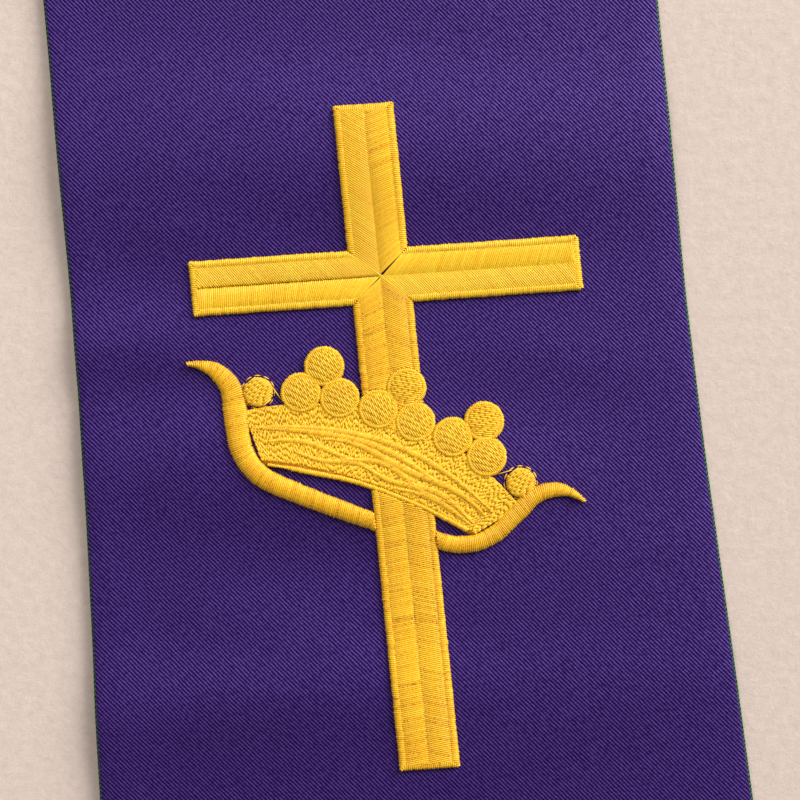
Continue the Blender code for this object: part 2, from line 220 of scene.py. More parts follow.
# Smaller ridges and dips that only the looks have. One turned by 90 degrees lifts a long edge.
FINE_CREASES = creases(
    Side.RIGHT,
    (107, 12, 14, 46, 9, 0.45),
    (124, -40, 4, 44, 11, 0.50),
    (138, 30, -6, 62, 20, 0.90),
    (135, -26, 2, 40, 17, 0.60),
    (113, 4, -3, 100, 14, -1.00),
    (159, 50, -9, 60, 19, -1.00),
    (190, -67, 90, 330, 14, 0.70),
    (137, -24, -22, 34, 8, 0.40),
    (150, 50, 10, 30, 9, 0.45),
    (179, -44, 24, 26, 7, 0.40),
    (190, 38, -12, 34, 9, 0.35),
    (221, -34, -16, 34, 7, 0.45),
    (250, -22, 6, 24, 6, 0.40),
    (256, -50, 12, 20, 6, 0.35),
    (262, 30, -8, 40, 9, 0.40),
    (60, 8, 5, 60, 13, 0.50),
    (372, -30, 18, 34, 9, 0.40),
    (520, 20, -14, 46, 12, 0.50),
    (590, -34, 20, 32, 9, 0.40),
    (728, 34, 12, 36, 10, 0.45),
    (860, -26, -20, 38, 10, 0.45),
    (1010, 18, 15, 36, 10, 0.40),
) + creases(
    Side.LEFT,
    (66, -12, -6, 58, 12, 0.50),
    (140, 30, 16, 34, 8, 0.40),
    (206, -40, -14, 28, 8, 0.40),
    (292, 26, 20, 34, 9, 0.45),
    (424, 20, -16, 40, 10, 0.45),
    (604, -28, 12, 36, 10, 0.45),
    (790, 26, -18, 34, 9, 0.40),
    (940, -20, 16, 38, 10, 0.45),
    (1070, 14, -10, 34, 9, 0.40),
    (270, 67, 90, 280, 14, 0.80),
)


@dataclass(frozen=True)
class StolePlan:
    """The cut of one half and how it lies: a leaning straight run, a neck arc and a mitred seam."""

    half_length: float = 1330 * MM
    lean: float = math.radians(5.35)
    neck_heading: float = math.radians(55)
    neck_radius: float = 230 * MM
    neck_run: float = 45 * MM
    seam_gap: float = 0.3 * MM
    cloth: float = 1.0 * MM
    layer_gap: float = 0.3 * MM
    back_peek: float = 0.5 * MM
    soften: float = 1.75
    widths: tuple = (
        (0, 144.7 * MM),
        (168 * MM, 130.1 * MM),
        (200 * MM, 128.3 * MM),
        (232 * MM, 128 * MM),
        (1030 * MM, 128 * MM),
        (1330 * MM, 104 * MM),
    )

    @property
    def neck_arc(self) -> float:
        """The length of the neck's arc along the half's middle."""
        return self.neck_radius * (self.neck_heading - self.lean)

    @property
    def straight(self) -> float:
        """The length of the straight run, from the hem to where the neck's arc starts."""
        return self.half_length - self.neck_arc - self.neck_run

    @property
    def face_top(self) -> float:
        """The height of the purple cloth's upper side where it lies flat."""
        return 2 * self.cloth + self.layer_gap

    def half_width(self, from_hem: Points) -> Points:
        """Half the cut's width at distances from the hem."""
        return smooth_table(self.widths, from_hem) / 2

    def flat_point(self, from_hem: Points, across: Points) -> tuple[Points, Points]:
        """Finds places on the right half, before the outline is centred.

        Args:
            from_hem: distances up the half.
            across: distances out from its middle.

        Returns:
            The x and y of each place.
        """
        lean, full = self.lean, self.neck_heading
        run = np.minimum(from_hem, self.straight)
        turned = lean + np.clip(from_hem - self.straight, 0, self.neck_arc) / self.neck_radius
        beyond = np.maximum(from_hem - self.straight - self.neck_arc, 0)
        x = (
            (self.straight - run) * math.sin(lean)
            + self.neck_radius * (np.cos(turned) - math.cos(full))
            + (self.neck_run - beyond) * math.sin(full)
        )
        y = (
            run * math.cos(lean)
            + self.neck_radius * (np.sin(turned) - math.sin(lean))
            + beyond * math.cos(full)
        )
        return x + across * np.cos(turned), y + across * np.sin(turned)

    def mitre_point(self, across: Points) -> tuple[Points, Points]:
        """Where lines that run up the right half meet the centre-back seam.

        Args:
            across: the lines' distances out from the half's middle.

        Returns:
            The x and y of each place.
        """
        x, y = self.flat_point(np.full_like(across, self.straight + self.neck_arc), across)
        run = (x - self.seam_gap / 2) / math.sin(self.neck_heading)
        return np.full_like(x, self.seam_gap / 2), y + run * math.cos(self.neck_heading)

    @property
    def outline_middle(self) -> float:
        """Halfway in y between the hem's lowest corner and the peak at the centre back.

        Returns:
            The y, before the outline is centred.
        """
        reach = self.half_width(0.0) + self.back_peek
        lowest = self.flat_point(-self.back_peek, -reach)[1]
        edge = self.half_width(self.half_length - self.neck_run) + self.back_peek
        highest = self.mitre_point(np.array([edge]))[1][0]
        return float(lowest + highest) / 2

    def rise(self, side: Side, from_hem: Points, across: Points) -> Points:
        """How far the creases lift a half off the surface.

        Args:
            side: the half.
            from_hem: distances up the half.
            across: distances out from its middle.

        Returns:
            The lift at each place.
        """
        total = np.zeros(np.broadcast(from_hem, across).shape)
        for crease in MAIN_CREASES:
            if crease.side is side:
                total = total + self.soften * crease.lift(from_hem, across)
        for crease in FINE_CREASES:
            if crease.side is side:
                total = total + crease.lift(from_hem, across)
        return total

    def place(self, side: Side, from_hem: Points, across: Points, height: Points) -> Points:
        """Puts points of a half where they lie in the scene.

        Args:
            side: the half.
            from_hem: distances up the half.
            across: distances out from its middle.
            height: heights above the surface.

        Returns:
            The points, with x, y and z in the last axis.
        """
        x, y = self.flat_point(from_hem, across)
        return np.stack([side.value * x, y - self.outline_middle, height], axis=-1)


@dataclass(frozen=True)
class Gabardine:
    """Polyester gabardine: a fine, steep twill, woven from combed yarn.

    The eye gets close diagonal ribs with a soft lustre on their crests, and matt gaps whose dark
    colour is painted shade.
    """

    name: str
    gap: str
    rib: str
    lustre: str
    rib_pitch: float = 0.655 * MM
    bead_pitch: float = 0.54 * MM
    float_length: float = 1.5 * MM
    rib_turn: float = math.radians(49.65)
    step_turn: float = math.radians(8)

    def material(self, side: Side, grain: Grain) -> bpy.types.Material:
        """Makes the woven material for one cloth.

        Args:
            side: the half it is for, since its grain leans with the half.
            grain: whether the cloth lies face up or face down.

        Returns:
            The material.
        """
        made, tree, shader = new_material(f"{self.name}_{side.half}")
        # The rib turn is from the grain to the ribs' normal, clockwise on the face
        grain_angle = math.pi / 2 + side.value * PLAN.lean
        turn = grain_angle + grain.value * self.rib_turn
        place = add_node(tree, "TexCoord", {}, {})
        lie = add_node(
            tree, "Mapping", {"Rotation": (0, 0, -turn)}, {"Vector": place.outputs["Object"]}
        )
        ribs = add_node(
            tree,
            "TexWave",
            {
                "Scale": WAVE_BAND / self.rib_pitch,
                "Distortion": 1.1,
                "Detail": 2.0,
                "Detail Scale": 0.5,
                "Detail Roughness": 0.65,
            },
            {"Vector": lie.outputs["Vector"]},
        )
        # Each rib is a row of short floats, whose ends line up a step turn off square to it
        step_lie = add_node(
            tree,
            "Mapping",
            {"Rotation": (0, 0, -grain.value * self.step_turn)},
            {"Vector": lie.outputs["Vector"]},
        )
        steps = add_node(
            tree,
            "TexWave",
            {
                "bands_direction": "Y",
                "Scale": WAVE_BAND / self.bead_pitch,
                "Distortion": 1.6,
                "Detail": 1.0,
            },
            {"Vector": step_lie.outputs["Vector"]},
        )
        # Noise drawn out along the ribs makes some floats lighter than others
        stretch = (1 / self.rib_pitch, 1 / self.float_length, 1 / self.float_length)
        floats_lie = add_node(
            tree, "Mapping", {"Scale": stretch}, {"Vector": lie.outputs["Vector"]}
        )
        floats = add_node(
            tree,
            "TexNoise",
            {"Scale": 1.9, "Detail": 1.0, "Roughness": 0.5},
            {"Vector": floats_lie.outputs["Vector"]},
        )
        uneven = add_node(
            tree,
            "Math",
            {"operation": "MULTIPLY_ADD", 1: 1.2, 2: -0.73},
            {0: floats.outputs["Fac"]},
        )
        beaded = add_node(
            tree,
            "Math",
            {"operation": "MULTIPLY_ADD", 1: 0.26},
            {0: steps.outputs["Fac"], 2: uneven.outputs[0]},
        )
        weave = add_node(
            tree, "Math", {"operation": "ADD"}, {0: ribs.outputs["Fac"], 1: beaded.outputs[0]}
        )
        # The gaps' darker colour is painted shade between the ribs
        stops = ((0.36, self.gap), (1.0, self.rib))
        tint = add_node(tree, "ValToRGB", {}, {"Fac": weave.outputs[0]}, stops)
        # Only the ribs' crests shine. The product is by one, for its clamp.
        gloss = add_node(
            tree,
            "Math",
            {"operation": "MULTIPLY", "use_clamp": True, 1: 1.0},
            {0: weave.outputs[0]},
        )
        relief = add_node(
            tree,
            "Bump",
            {"Strength": 0.55, "Distance": 0.12 * MM},
            {"Height": weave.outputs[0]},
        )
        tree.links.new(tint.outputs["Color"], shader.inputs["Base Color"])
        tree.links.new(relief.outputs["Normal"], shader.inputs["Normal"])
        tree.links.new(gloss.outputs[0], shader.inputs["Specular IOR Level"])
        shader.inputs["Roughness"].default_value = 0.5
        shader.inputs["IOR"].default_value = 1.58
        shader.inputs["Specular Tint"].default_value = linear(self.lustre)
        return made


@dataclass(frozen=True)
class EmbroideryThread:
    """Trilobal polyester machine-embroidery thread, twisted and laid in close rows.

    The eye gets a bright line along each stitch, a warmer, darker gold between stitches, and
    brown where a stitch goes down through the cloth. The darker gold and the brown are painted
    shade, and the glints along the thread are painted highlights.
    """

    name: str
    hole_shade: str
    dark: str
    light: str
    roughness: float
    sheen: float
    twist: float = 0.3 * MM

    def material(self) -> bpy.types.Material:
        """Makes the thread's material, whose tone varies from stitch to stitch.

        Returns:
            The material.
        """
        made, tree, shader = new_material(self.name)
        tone = add_node(tree, "Attribute", {"attribute_name": "tone"}, {})
        place = add_node(tree, "TexCoord", {}, {})
        # Painted glints: fine noise lightens and darkens the thread's colour along its length,
        # standing in for light caught by the twisted thread
        glints = add_node(
            tree,
            "TexNoise",
            {"Scale": 1 / self.twist, "Detail": 1.0},
            {"Vector": place.outputs["Object"]},
        )
        # The noise's middle, at one half, leaves the thread's tone as it is
        glitter = add_node(
            tree,
            "Math",
            {"operation": "MULTIPLY_ADD", 1: 1.2, 2: -0.6},
            {0: glints.outputs["Fac"]},
        )
        mixed = add_node(
            tree, "Math", {"operation": "ADD"}, {0: tone.outputs["Fac"], 1: glitter.outputs[0]}
        )
        # The brown first stop is painted shade, for where a stitch goes down into the cloth
        stops = ((0.0, self.hole_shade), (0.25, self.dark), (1.0, self.light))
        tint = add_node(tree, "ValToRGB", {}, {"Fac": mixed.outputs[0]}, stops)
        tree.links.new(tint.outputs["Color"], shader.inputs["Base Color"])
        shader.inputs["Roughness"].default_value = self.roughness
        shader.inputs["IOR"].default_value = 1.54
        shader.inputs["Specular IOR Level"].default_value = 0.5
        shader.inputs["Sheen Weight"].default_value = self.sheen
        shader.inputs["Sheen Roughness"].default_value = 0.4
        return made


@dataclass(frozen=True)
class WoolFelt:
    """Pressed wool felt for the floor: carded wool, matted flat.

    The eye gets a pale, even ground, faintly lumpy and without a highlight.
    """

    dark: str = "#C8B6AB"
    light: str = "#DCCBC0"

    def material(self) -> bpy.types.Material:
        """Makes the felt's material.

        Returns:
            The material.
        """
        made, tree, shader = new_material("pale_pressed_felt")
        place = add_node(tree, "TexCoord", {}, {})
        lumps = add_node(
            tree,
            "TexNoise",
            {"Scale": 420.0, "Detail": 8.0, "Roughness": 0.78},
            {"Vector": place.outputs["Object"]},
        )
        stops = ((0.25, self.dark), (0.75, self.light))
        tint = add_node(tree, "ValToRGB", {}, {"Fac": lumps.outputs["Fac"]}, stops)
        tree.links.new(tint.outputs["Color"], shader.inputs["Base Color"])
        relief = add_node(
            tree,
            "Bump",
            {"Strength": 0.5, "Distance": 0.5 * MM},
            {"Height": lumps.outputs["Fac"]},
        )
        tree.links.new(relief.outputs["Normal"], shader.inputs["Normal"])
        shader.inputs["Roughness"].default_value = 0.95
        shader.inputs["Specular IOR Level"].default_value = 0.1
        return made


PLAN = StolePlan()
PURPLE_GABARDINE = Gabardine("purple_polyester_gabardine", "#1C0840", "#412A6C", "#AE8EFF")
GREEN_GABARDINE = Gabardine("green_polyester_gabardine", "#0A2C18", "#1E6038", "#A0F0C0")
GOLD_THREAD = EmbroideryThread(
    "gold_trilobal_embroidery_thread", "#8A5604", "#EEB00A", "#FADA30", 0.42, 0.06
)
# The underlay's gold is darker than the thread's, as painted shade in the gaps between stitches
GOLD_UNDERLAY = EmbroideryThread(
    "gold_underlay_stitching", "#AC7006", "#D89A0A", "#ECB214", 0.7, 0.0
)


def add_mesh(
    name: str, points: Points, faces: Iterable, materials: Sequence[bpy.types.Material]
) -> bpy.types.Object:
    """Makes a smooth-shaded mesh object and links it to the scene.

    Args:
        name: the object's name.
        points: its points.
        faces: its faces, as runs of point numbers.
        materials: its materials, in slot order.

    Returns:
        The object.
    """
    mesh = bpy.data.meshes.new(name)
    mesh.from_pydata(points.tolist(), [], faces)
    mesh.polygons.foreach_set("use_smooth", [True] * len(mesh.polygons))
    for material in materials:
        mesh.materials.append(material)
    mesh.update()
    piece = bpy.data.objects.new(name, mesh)
    bpy.context.scene.collection.objects.link(piece)
    return piece


def grid_faces(number: Points, flip: bool) -> Points:
    """The four-sided faces between neighbouring points of a grid.

    Args:
        number: the grid's point numbers.
        flip: whether the faces look the other way.

    Returns:
        The point numbers of each face.
    """
    corners = [number[:-1, :-1], number[:-1, 1:], number[1:, 1:], number[1:, :-1]]
    return np.stack(corners[::-1] if flip else corners, -1).reshape(-1, 4)


# How far the first rows and columns of a cloth lie from its edge, where it rolls
EDGE_STEPS = np.array([0, 0.1, 0.3, 0.55, 1.0, 2.0]) * MM
# Shares of the way from the neck's last row to the mitred seam, closer together at the seam
MITRE_STEPS = np.array([0.1, 0.25, 0.4, 0.55, 0.7, 0.82, 0.9, 0.95, 0.975, 0.99, 1.0])


@dataclass
class Cloth:
    """One cloth of one half: a thin closed sheet with softly rolled edges."""

    side: Side
    name: str
    nodes: tuple[str, ...]
    slot: str
    finish: Gabardine
    grain: Grain
    bottom: float
    peek: float
    edge_droop: float
    row_step: float = 3.2 * MM
    column_count: int = 31
    roll: float = 0.5 * MM
    droop_reach: float = 1.6 * MM

    def rows(self) -> Points:
        """The rows' distances from the hem, up to where the mitre starts.

        Returns:
            The distances, close together at the hem.
        """
        count = int(PLAN.straight / self.row_step)
        inner = np.linspace(EDGE_STEPS[-1], PLAN.straight + PLAN.neck_arc, count)
        return np.concatenate([EDGE_STEPS[:-1], inner])

    def columns(self, width: Points) -> Points:
        """Lays out the columns, close together along both edges.

        Args:
            width: each row's width, one under the other.

        Returns:
            Each point's distance from the sheet's inner edge, as rows by columns.
        """
        inner = EDGE_STEPS[-1]
        share = np.linspace(0, 1, self.column_count + 2)[1:-1]
        near = np.tile(EDGE_STEPS, (len(width), 1))
        return np.hstack([near, inner + share * (width - 2 * inner), width - EDGE_STEPS[::-1]])

    def build(self) -> bpy.types.Object:
        """Returns:
            The sheet's object.
        """
        stations = self.rows()
        reach = PLAN.half_width(stations) + self.peek
        width = 2 * reach[:, None]
        from_edge = self.columns(width)
        across = from_edge - reach[:, None]
        side_distance = np.minimum(from_edge, width - from_edge)
        # The peek past the face dies out within a few millimetres of the hem
        along = (stations - self.peek * np.exp(-stations / MM))[:, None] + np.zeros_like(across)
        x, y = PLAN.flat_point(along, across)
        lift = PLAN.rise(self.side, along, across)
        distance = np.minimum(side_distance, stations[:, None])
        seam_x, seam_y = PLAN.mitre_point(across[-1])
        mitre_x = x[-1] + MITRE_STEPS[:, None] * (seam_x - x[-1])
        mitre_y = y[-1] + MITRE_STEPS[:, None] * (seam_y - y[-1])
        mitre_distance = np.minimum(side_distance[-1], mitre_x - PLAN.seam_gap / 2)
        x, y = np.vstack([x, mitre_x]), np.vstack([y, mitre_y])
        lift = np.vstack([lift, np.zeros_like(mitre_x)])
        distance = np.vstack([distance, mitre_distance])
        return self.finish_sheet(x, y, lift, distance)

    def finish_sheet(self, x: Points, y: Points, lift: Points, distance: Points) -> bpy.types.Object:
        """Args:
            x: the grid's x on the right half, before centring.
            y: the grid's y, before centring.
            lift: the creases' lift.
            distance: each point's distance from the nearest edge.

        Returns:
            The sheet's object.
        """
        rounded = np.sqrt(1 - (1 - np.clip(distance / self.roll, 0, 1)) ** 2)
        half = PLAN.cloth / 2
        droop = self.edge_droop * np.exp(-((distance / self.droop_reach) ** 2))
        middle = self.bottom + half + lift - droop
        upper = np.stack([self.side.value * x, y - PLAN.outline_middle, middle + half * rounded], -1)
        lower = upper.copy()
        lower[..., 2] = middle - half * rounded
        rows, columns = x.shape
        top_number = np.arange(rows * columns).reshape(rows, columns)
        low_number = top_number.copy()
        inside = np.zeros((rows, columns), bool)
        inside[1:-1, 1:-1] = True
        low_number[inside] = rows * columns + np.arange(inside.sum())
        points = np.vstack([upper.reshape(-1, 3), lower[inside]])
        mirrored = self.side is Side.LEFT
        faces = np.vstack([grid_faces(top_number, mirrored), grid_faces(low_number, not mirrored)])
        material = self.finish.material(self.side, self.grain)
        piece = add_mesh(self.name, points, faces.tolist(), [material])
        self.declare(piece)
        return piece

    def declare(self, piece: bpy.types.Object) -> None:
        """Attaches the sheet to the root body, hides the solids that it stands for and works out its
        cut.

        Args:
            piece: the sheet's object.
        """
        stations = np.linspace(0, PLAN.half_length, 1400)
        width = 2 * PLAN.half_width(stations)
        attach(piece, "root")
        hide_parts(*self.nodes)
        self.cut_size()

    def cut_size(self) -> tuple[float, float]:
        """The smallest rectangle, square to the grain, that the half is cut from.

        Returns:
            Its width across the grain and its length along it.
        """
        stations = np.linspace(0, PLAN.straight + PLAN.neck_arc, 300)
        edge = PLAN.half_width(stations)
        x, y = PLAN.flat_point(np.tile(stations, 2), np.concatenate([-edge, edge]))
        end = np.array([-1, 1]) * PLAN.half_width(PLAN.half_length - PLAN.neck_run)
        seam_x, seam_y = PLAN.mitre_point(end)
        x, y = np.append(x, seam_x), np.append(y, seam_y)
        aside = x * math.cos(PLAN.lean) + y * math.sin(PLAN.lean)
        along = y * math.cos(PLAN.lean) - x * math.sin(PLAN.lean)
        return float(np.ptp(aside)), float(np.ptp(along))


Row = Points
Inside = Callable[[Points, Points], Points]
# How much painted shade usually darkens a row of thread where it starts and ends, and its usual tone
SHADES = (0.35, 0.35)
TONE = 0.55


@dataclass
class Stitchwork:
    """Gathers rows of thread, laid stitch by stitch, with the padding under them.

    A row holds points as (across, up, height), measured from the cross's crossing.
    """

    side: Side
    seed: int
    thread_radius: float = 0.222 * MM
    end_girth: float = 0.6
    pitch: float = 0.4 * MM
    shortest: float = 0.3 * MM
    tone_spread: float = 0.1
    darkest: float = 0.28
    bed_tone: float = 0.5
    bed_foot: float = -0.15 * MM
    bed_lowest: float = 0.02 * MM
    bed_split: float = 1.6 * MM

    def __post_init__(self) -> None:
        """Starts with no stitches, and with its own seeded unevenness."""
        self.random = np.random.default_rng(self.seed)
        self.points: list[Points] = []
        self.faces: list[Points] = []
        self.tones: list[Points] = []
        self.slots: list[Points] = []
        self.count = 0
        self.stitches = 0

    def world(self, row: Points) -> Points:
        """Lays emblem points on the purple cloth of this half.

        Args:
            row: points as (across, up, height) in the last axis.

        Returns:
            The points in the scene.
        """
        from_hem = CROSS_FROM_HEM + row[..., 1]
        across = CROSS_ACROSS + row[..., 0]
        height = PLAN.face_top + PLAN.rise(self.side, from_hem, across) + row[..., 2]
        return PLAN.place(self.side, from_hem, across, height)

    def keep(self, points: Points, faces: Points, tones: Points, slot: int) -> None:
        """Stores points and faces, with a tone for each point and one material slot.

        Args:
            points: the points in the scene.
            faces: their four-sided faces.
            tones: each point's tone.
            slot: none for thread and one for underlay.
        """
        self.points.append(points)
        self.faces.append(faces + self.count)
        self.tones.append(tones)
        self.slots.append(np.full(len(faces), slot))
        self.count += len(points)

    def threads(
        self,
        rows: Points,
        radius: float | None = None,
        shades: tuple[float, float] = SHADES,
        tone: float = TONE,
    ) -> None:
        """Lays one closed thread, of four sides, along each row.

        Args:
            rows: the rows, as an array of rows by points by three.
            radius: the thread's radius, where it isn't the usual one.
            shades: how much painted shade darkens each row where it starts and ends, as it dives into
                the cloth.
            tone: the threads' mean tone, from brown at none to the lightest gold at one.
        """
        if len(rows) == 0:
            return
        radius = radius or self.thread_radius
        path = self.world(rows)
        count, length = path.shape[:2]
        ahead = np.gradient(path, axis=1)
        ahead /= np.linalg.norm(ahead, axis=-1, keepdims=True) + 1e-12
        aside = np.cross(ahead, np.array([0, 0, 1.0]))
        aside /= np.linalg.norm(aside, axis=-1, keepdims=True) + 1e-12
        above = np.cross(aside, ahead)
        girth = np.full(length, radius)
        girth[[0, -1]] *= self.end_girth
        girth = girth[None, :, None]
        ring = np.stack(
            [path + above * girth, path + aside * girth, path - above * girth, path - aside * girth], 2
        )
        number = np.arange(count * length * 4).reshape(count, length, 4)
        after = np.roll(number, -1, axis=2)
        walls = np.stack(
            [number[:, :-1], number[:, 1:], after[:, 1:], after[:, :-1]], -1
        ).reshape(-1, 4)
        caps = np.vstack([number[:, 0], number[:, -1, ::-1]])
        threads = self.random.normal(tone, self.tone_spread, count)
        threads = np.clip(threads, max(self.darkest, tone - 2.5 * self.tone_spread), 1)
        tones = np.repeat(threads[:, None], length, axis=1)
        # Painted shade darkens each row's first and last points, where it goes down into the cloth
        tones[:, 0] -= shades[0]
        tones[:, -1] -= shades[1]
        faces = np.vstack([walls, caps])
        if self.side is Side.RIGHT:
            faces = faces[:, ::-1]
        self.keep(ring.reshape(-1, 3), faces, np.repeat(tones.ravel(), 4), 0)
        self.stitches += count

    def padding(self, rows: Points, drop: float = 0.14 * MM) -> None:
        """Fills in under a field of rows with a closed bed that stands on the cloth.

        Args:
            rows: neighbouring rows, as an array of rows by points by three.
            drop: how far the bed's top lies under the threads' middles.
        """
        if len(rows) < 2:
            return
        top = rows.copy()
        top[..., 2] = np.maximum(rows[..., 2] - drop, self.bed_lowest)
        low = rows.copy()
        low[..., 2] = self.bed_foot
        upper, lower = self.world(top), self.world(low)
        count, length = upper.shape[:2]
        high = np.arange(count * length).reshape(count, length)
        deep = high + count * length
        rim_high = np.concatenate([high[0, :-1], high[:-1, -1], high[-1, :0:-1], high[:0:-1, 0]])
        rim_deep = rim_high + count * length
        walls = np.stack([rim_high, rim_deep, np.roll(rim_deep, -1), np.roll(rim_high, -1)], -1)
        faces = np.vstack([grid_faces(high, False), grid_faces(deep, True), walls])
        points = np.vstack([upper.reshape(-1, 3), lower.reshape(-1, 3)])
        self.keep(points, faces, np.full(len(points), self.bed_tone), 1)

    def field(
        self,
        rows: Sequence[Row],
        every: int = 3,
        shades: tuple[float, float] = SHADES,
        tone: float = TONE,
    ) -> None:
        """Lays rows of thread with padding under them.

        Args:
            rows: rows of as many points each, in order. A gap between two splits the padding.
            every: how many rows the padding steps over.
            shades: how much painted shade darkens each row where it starts and ends.
            tone: the threads' mean tone.
        """
        if len(rows) == 0:
            return
        rows = np.array(rows)
        self.threads(rows, shades=shades, tone=tone)
        middle = rows[:, rows.shape[1] // 2, :2]
        step = np.linalg.norm(np.diff(middle, axis=0), axis=1)
        for run in np.split(rows, np.nonzero(step > self.bed_split)[0] + 1):
            picked = sorted({*range(0, len(run), every), len(run) - 1})
            self.padding(run[picked])

    def jitter(self, amount: float) -> float:
        """A small seeded unevenness, as of a needle's hit."""
        return float(self.random.normal(0, amount))

    def satin(
        self,
        starts: Points,
        ends: Points,
        height: Callable[[Points], Points],
        samples: int,
        inside: Inside | None = None,
        uneven: float = 0.05 * MM,
    ) -> list[Row]:
        """Makes satin rows from one rail to another.

        Args:
            starts: where each row starts, in (across, up).
            ends: where each row ends.
            height: the thread's height at a share of the row.
            samples: points in each row.
            inside: tells which places are covered and so left out.
            uneven: how far the needle's hits stray along the row.

        Returns:
            The rows that are left.
        """
        rows = []
        fine = np.linspace(0, 1, 41)
        share = (1 - np.cos(np.linspace(0, np.pi, samples))) / 2
        for start, end in zip(starts, ends):
            start, end = np.asarray(start), np.asarray(end)
            span = float(np.linalg.norm(end - start))
            if span < self.shortest:
                continue
            way = (end - start) / span
            start = start + way * self.jitter(uneven)
            end = end + way * self.jitter(uneven)
            low, high = 0.0, 1.0
            if inside is not None:
                line = start + fine[:, None] * (end - start)
                open_at = ~inside(line[:, 0], line[:, 1])
                if not open_at.any():
                    continue
                low, high = longest_run(fine, open_at)
                if (high - low) * span < self.shortest:
                    continue
            at = low + (high - low) * share
            flat = start + at[:, None] * (end - start)
            rows.append(np.column_stack([flat, height(at)]))
        return rows

    def finish(self, name: str, nodes: Sequence[str]) -> bpy.types.Object:
        """Makes the piece out of what was gathered.

        Args:
            name: the piece's name.
            nodes: the solids that it stands for.

        Returns:
            The piece.
        """
        faces = np.vstack(self.faces)
        piece = add_mesh(name, np.vstack(self.points), faces.tolist(), gold_materials())
        tone = piece.data.attributes.new("tone", "FLOAT", "POINT")
        tone.data.foreach_set("value", np.concatenate(self.tones))
        piece.data.polygons.foreach_set("material_index", np.concatenate(self.slots))
        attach(piece, "root")
        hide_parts(*nodes)
        LOG.info("%s: %d stitches, %d faces", name, self.stitches, len(faces))
        return piece


def longest_run(at: Points, open_at: Points) -> tuple[float, float]:
    """The ends of the longest unbroken run of open places.

    Args:
        at: the places, in order.
        open_at: whether each place is open.

    Returns:
        Where the run starts and ends.
    """
    best, start = (0.0, 0.0), None
    for i, is_open in enumerate([*open_at, False]):
        if is_open and start is None:
            start = i
        elif not is_open and start is not None:
            if at[i - 1] - at[start] > best[1] - best[0]:
                best = (float(at[start]), float(at[i - 1]))
            start = None
    return best


def gold_materials() -> list[bpy.types.Material]:
    """Finds the embroidery's materials, which are made once.

    Returns:
        The thread's and the underlay's, in slot order.
    """
    return [
        bpy.data.materials.get(finish.name) or finish.material()
        for finish in (GOLD_THREAD, GOLD_UNDERLAY)
    ]


def running_length(x: Points, y: Points) -> Points:
    """How far along a line each of its points lies."""
    return np.concatenate([[0], np.cumsum(np.hypot(np.diff(x), np.diff(y)))])


def swell(foot: float, crest: float, fullness: float) -> Callable[[Points], Points]:
    """A bead's section: from a foot up to a crest and down again.

    Args:
        foot: the height at both ends.
        crest: the height in the middle.
        fullness: under one half for a flat top with steep sides, over it for a peaked one.

    Returns:
        A function from a share of the row to the thread's height.
    """

    def height(share: Points) -> Points:
        """The thread's height at a share of its row."""
        return foot + (crest - foot) * np.clip(1 - (2 * share - 1) ** 2, 0, 1) ** fullness

    return height


def bead(outer: float, crest: float, inner: float) -> Callable[[Points], Points]:
    """A border bead's section: steep on its outside, and sunk only a little on its inside.

    Args:
        outer: the height at the outer edge.
        crest: the height of the crest, a little outside the middle.
        inner: the height at the inner edge.

    Returns:
        A function from a share of the row to the thread's height.
    """

    def height(share: Points) -> Points:
        """The thread's height at a share of its row.

        Args:
            share: shares of the row, from its outer end.

        Returns:
            The heights.
        """
        crest_at = 0.45
        up = np.clip(1 - (1 - share / crest_at) ** 2, 0, 1) ** 0.5
        down = np.clip((share - crest_at) / (1 - crest_at), 0, 1) ** 2
        rising = outer + (crest - outer) * up
        return np.where(share < crest_at, rising, crest - (crest - inner) * down)

    return height


CROSS_FROM_HEM = 210.4 * MM
CROSS_ACROSS = 0.8 * MM


@dataclass(frozen=True)
class CrossPlan:
    """The cross: four strokes with a satin border, and two columns that meet along each middle."""

    shaft_turn: float = math.radians(0.43)
    arm_turn: float = math.radians(-1.39)
    shaft_width: float = 12.6 * MM
    arm_width: float = 11.5 * MM
    up: float = 36.0 * MM
    down: float = 103.7 * MM
    inner: float = 39.8 * MM
    outer: float = 42.1 * MM
    border: float = 1.5 * MM
    tuck: float = 0.4 * MM
    fan: float = 8.5 * MM

    def column_height(self, share: Points) -> Points:
        """The column bulges between the middle's valley and the border's groove."""
        return (0.88 + 0.26 * np.clip(1 - (2 * share - 1) ** 2, 0, 1)) * MM

    def border_height(self, share: Points) -> Points:
        """The border is a low bead, steep on its outside."""
        return bead(0.1 * MM, 1.02 * MM, 0.96 * MM)(share)

    def point(self, p: Points, q: Points) -> tuple[Points, Points]:
        """A point p along the arms and q up the shaft, with the stitching's slight skew."""
        u = p * math.cos(self.arm_turn) - q * math.sin(self.shaft_turn)
        return u, p * math.sin(self.arm_turn) + q * math.cos(self.shaft_turn)

    def shaft_offset(self, u: Points, v: Points) -> Points:
        """How far along the arms a point lies from the shaft's middle."""
        return (u + v * math.tan(self.shaft_turn)) / math.cos(self.arm_turn)


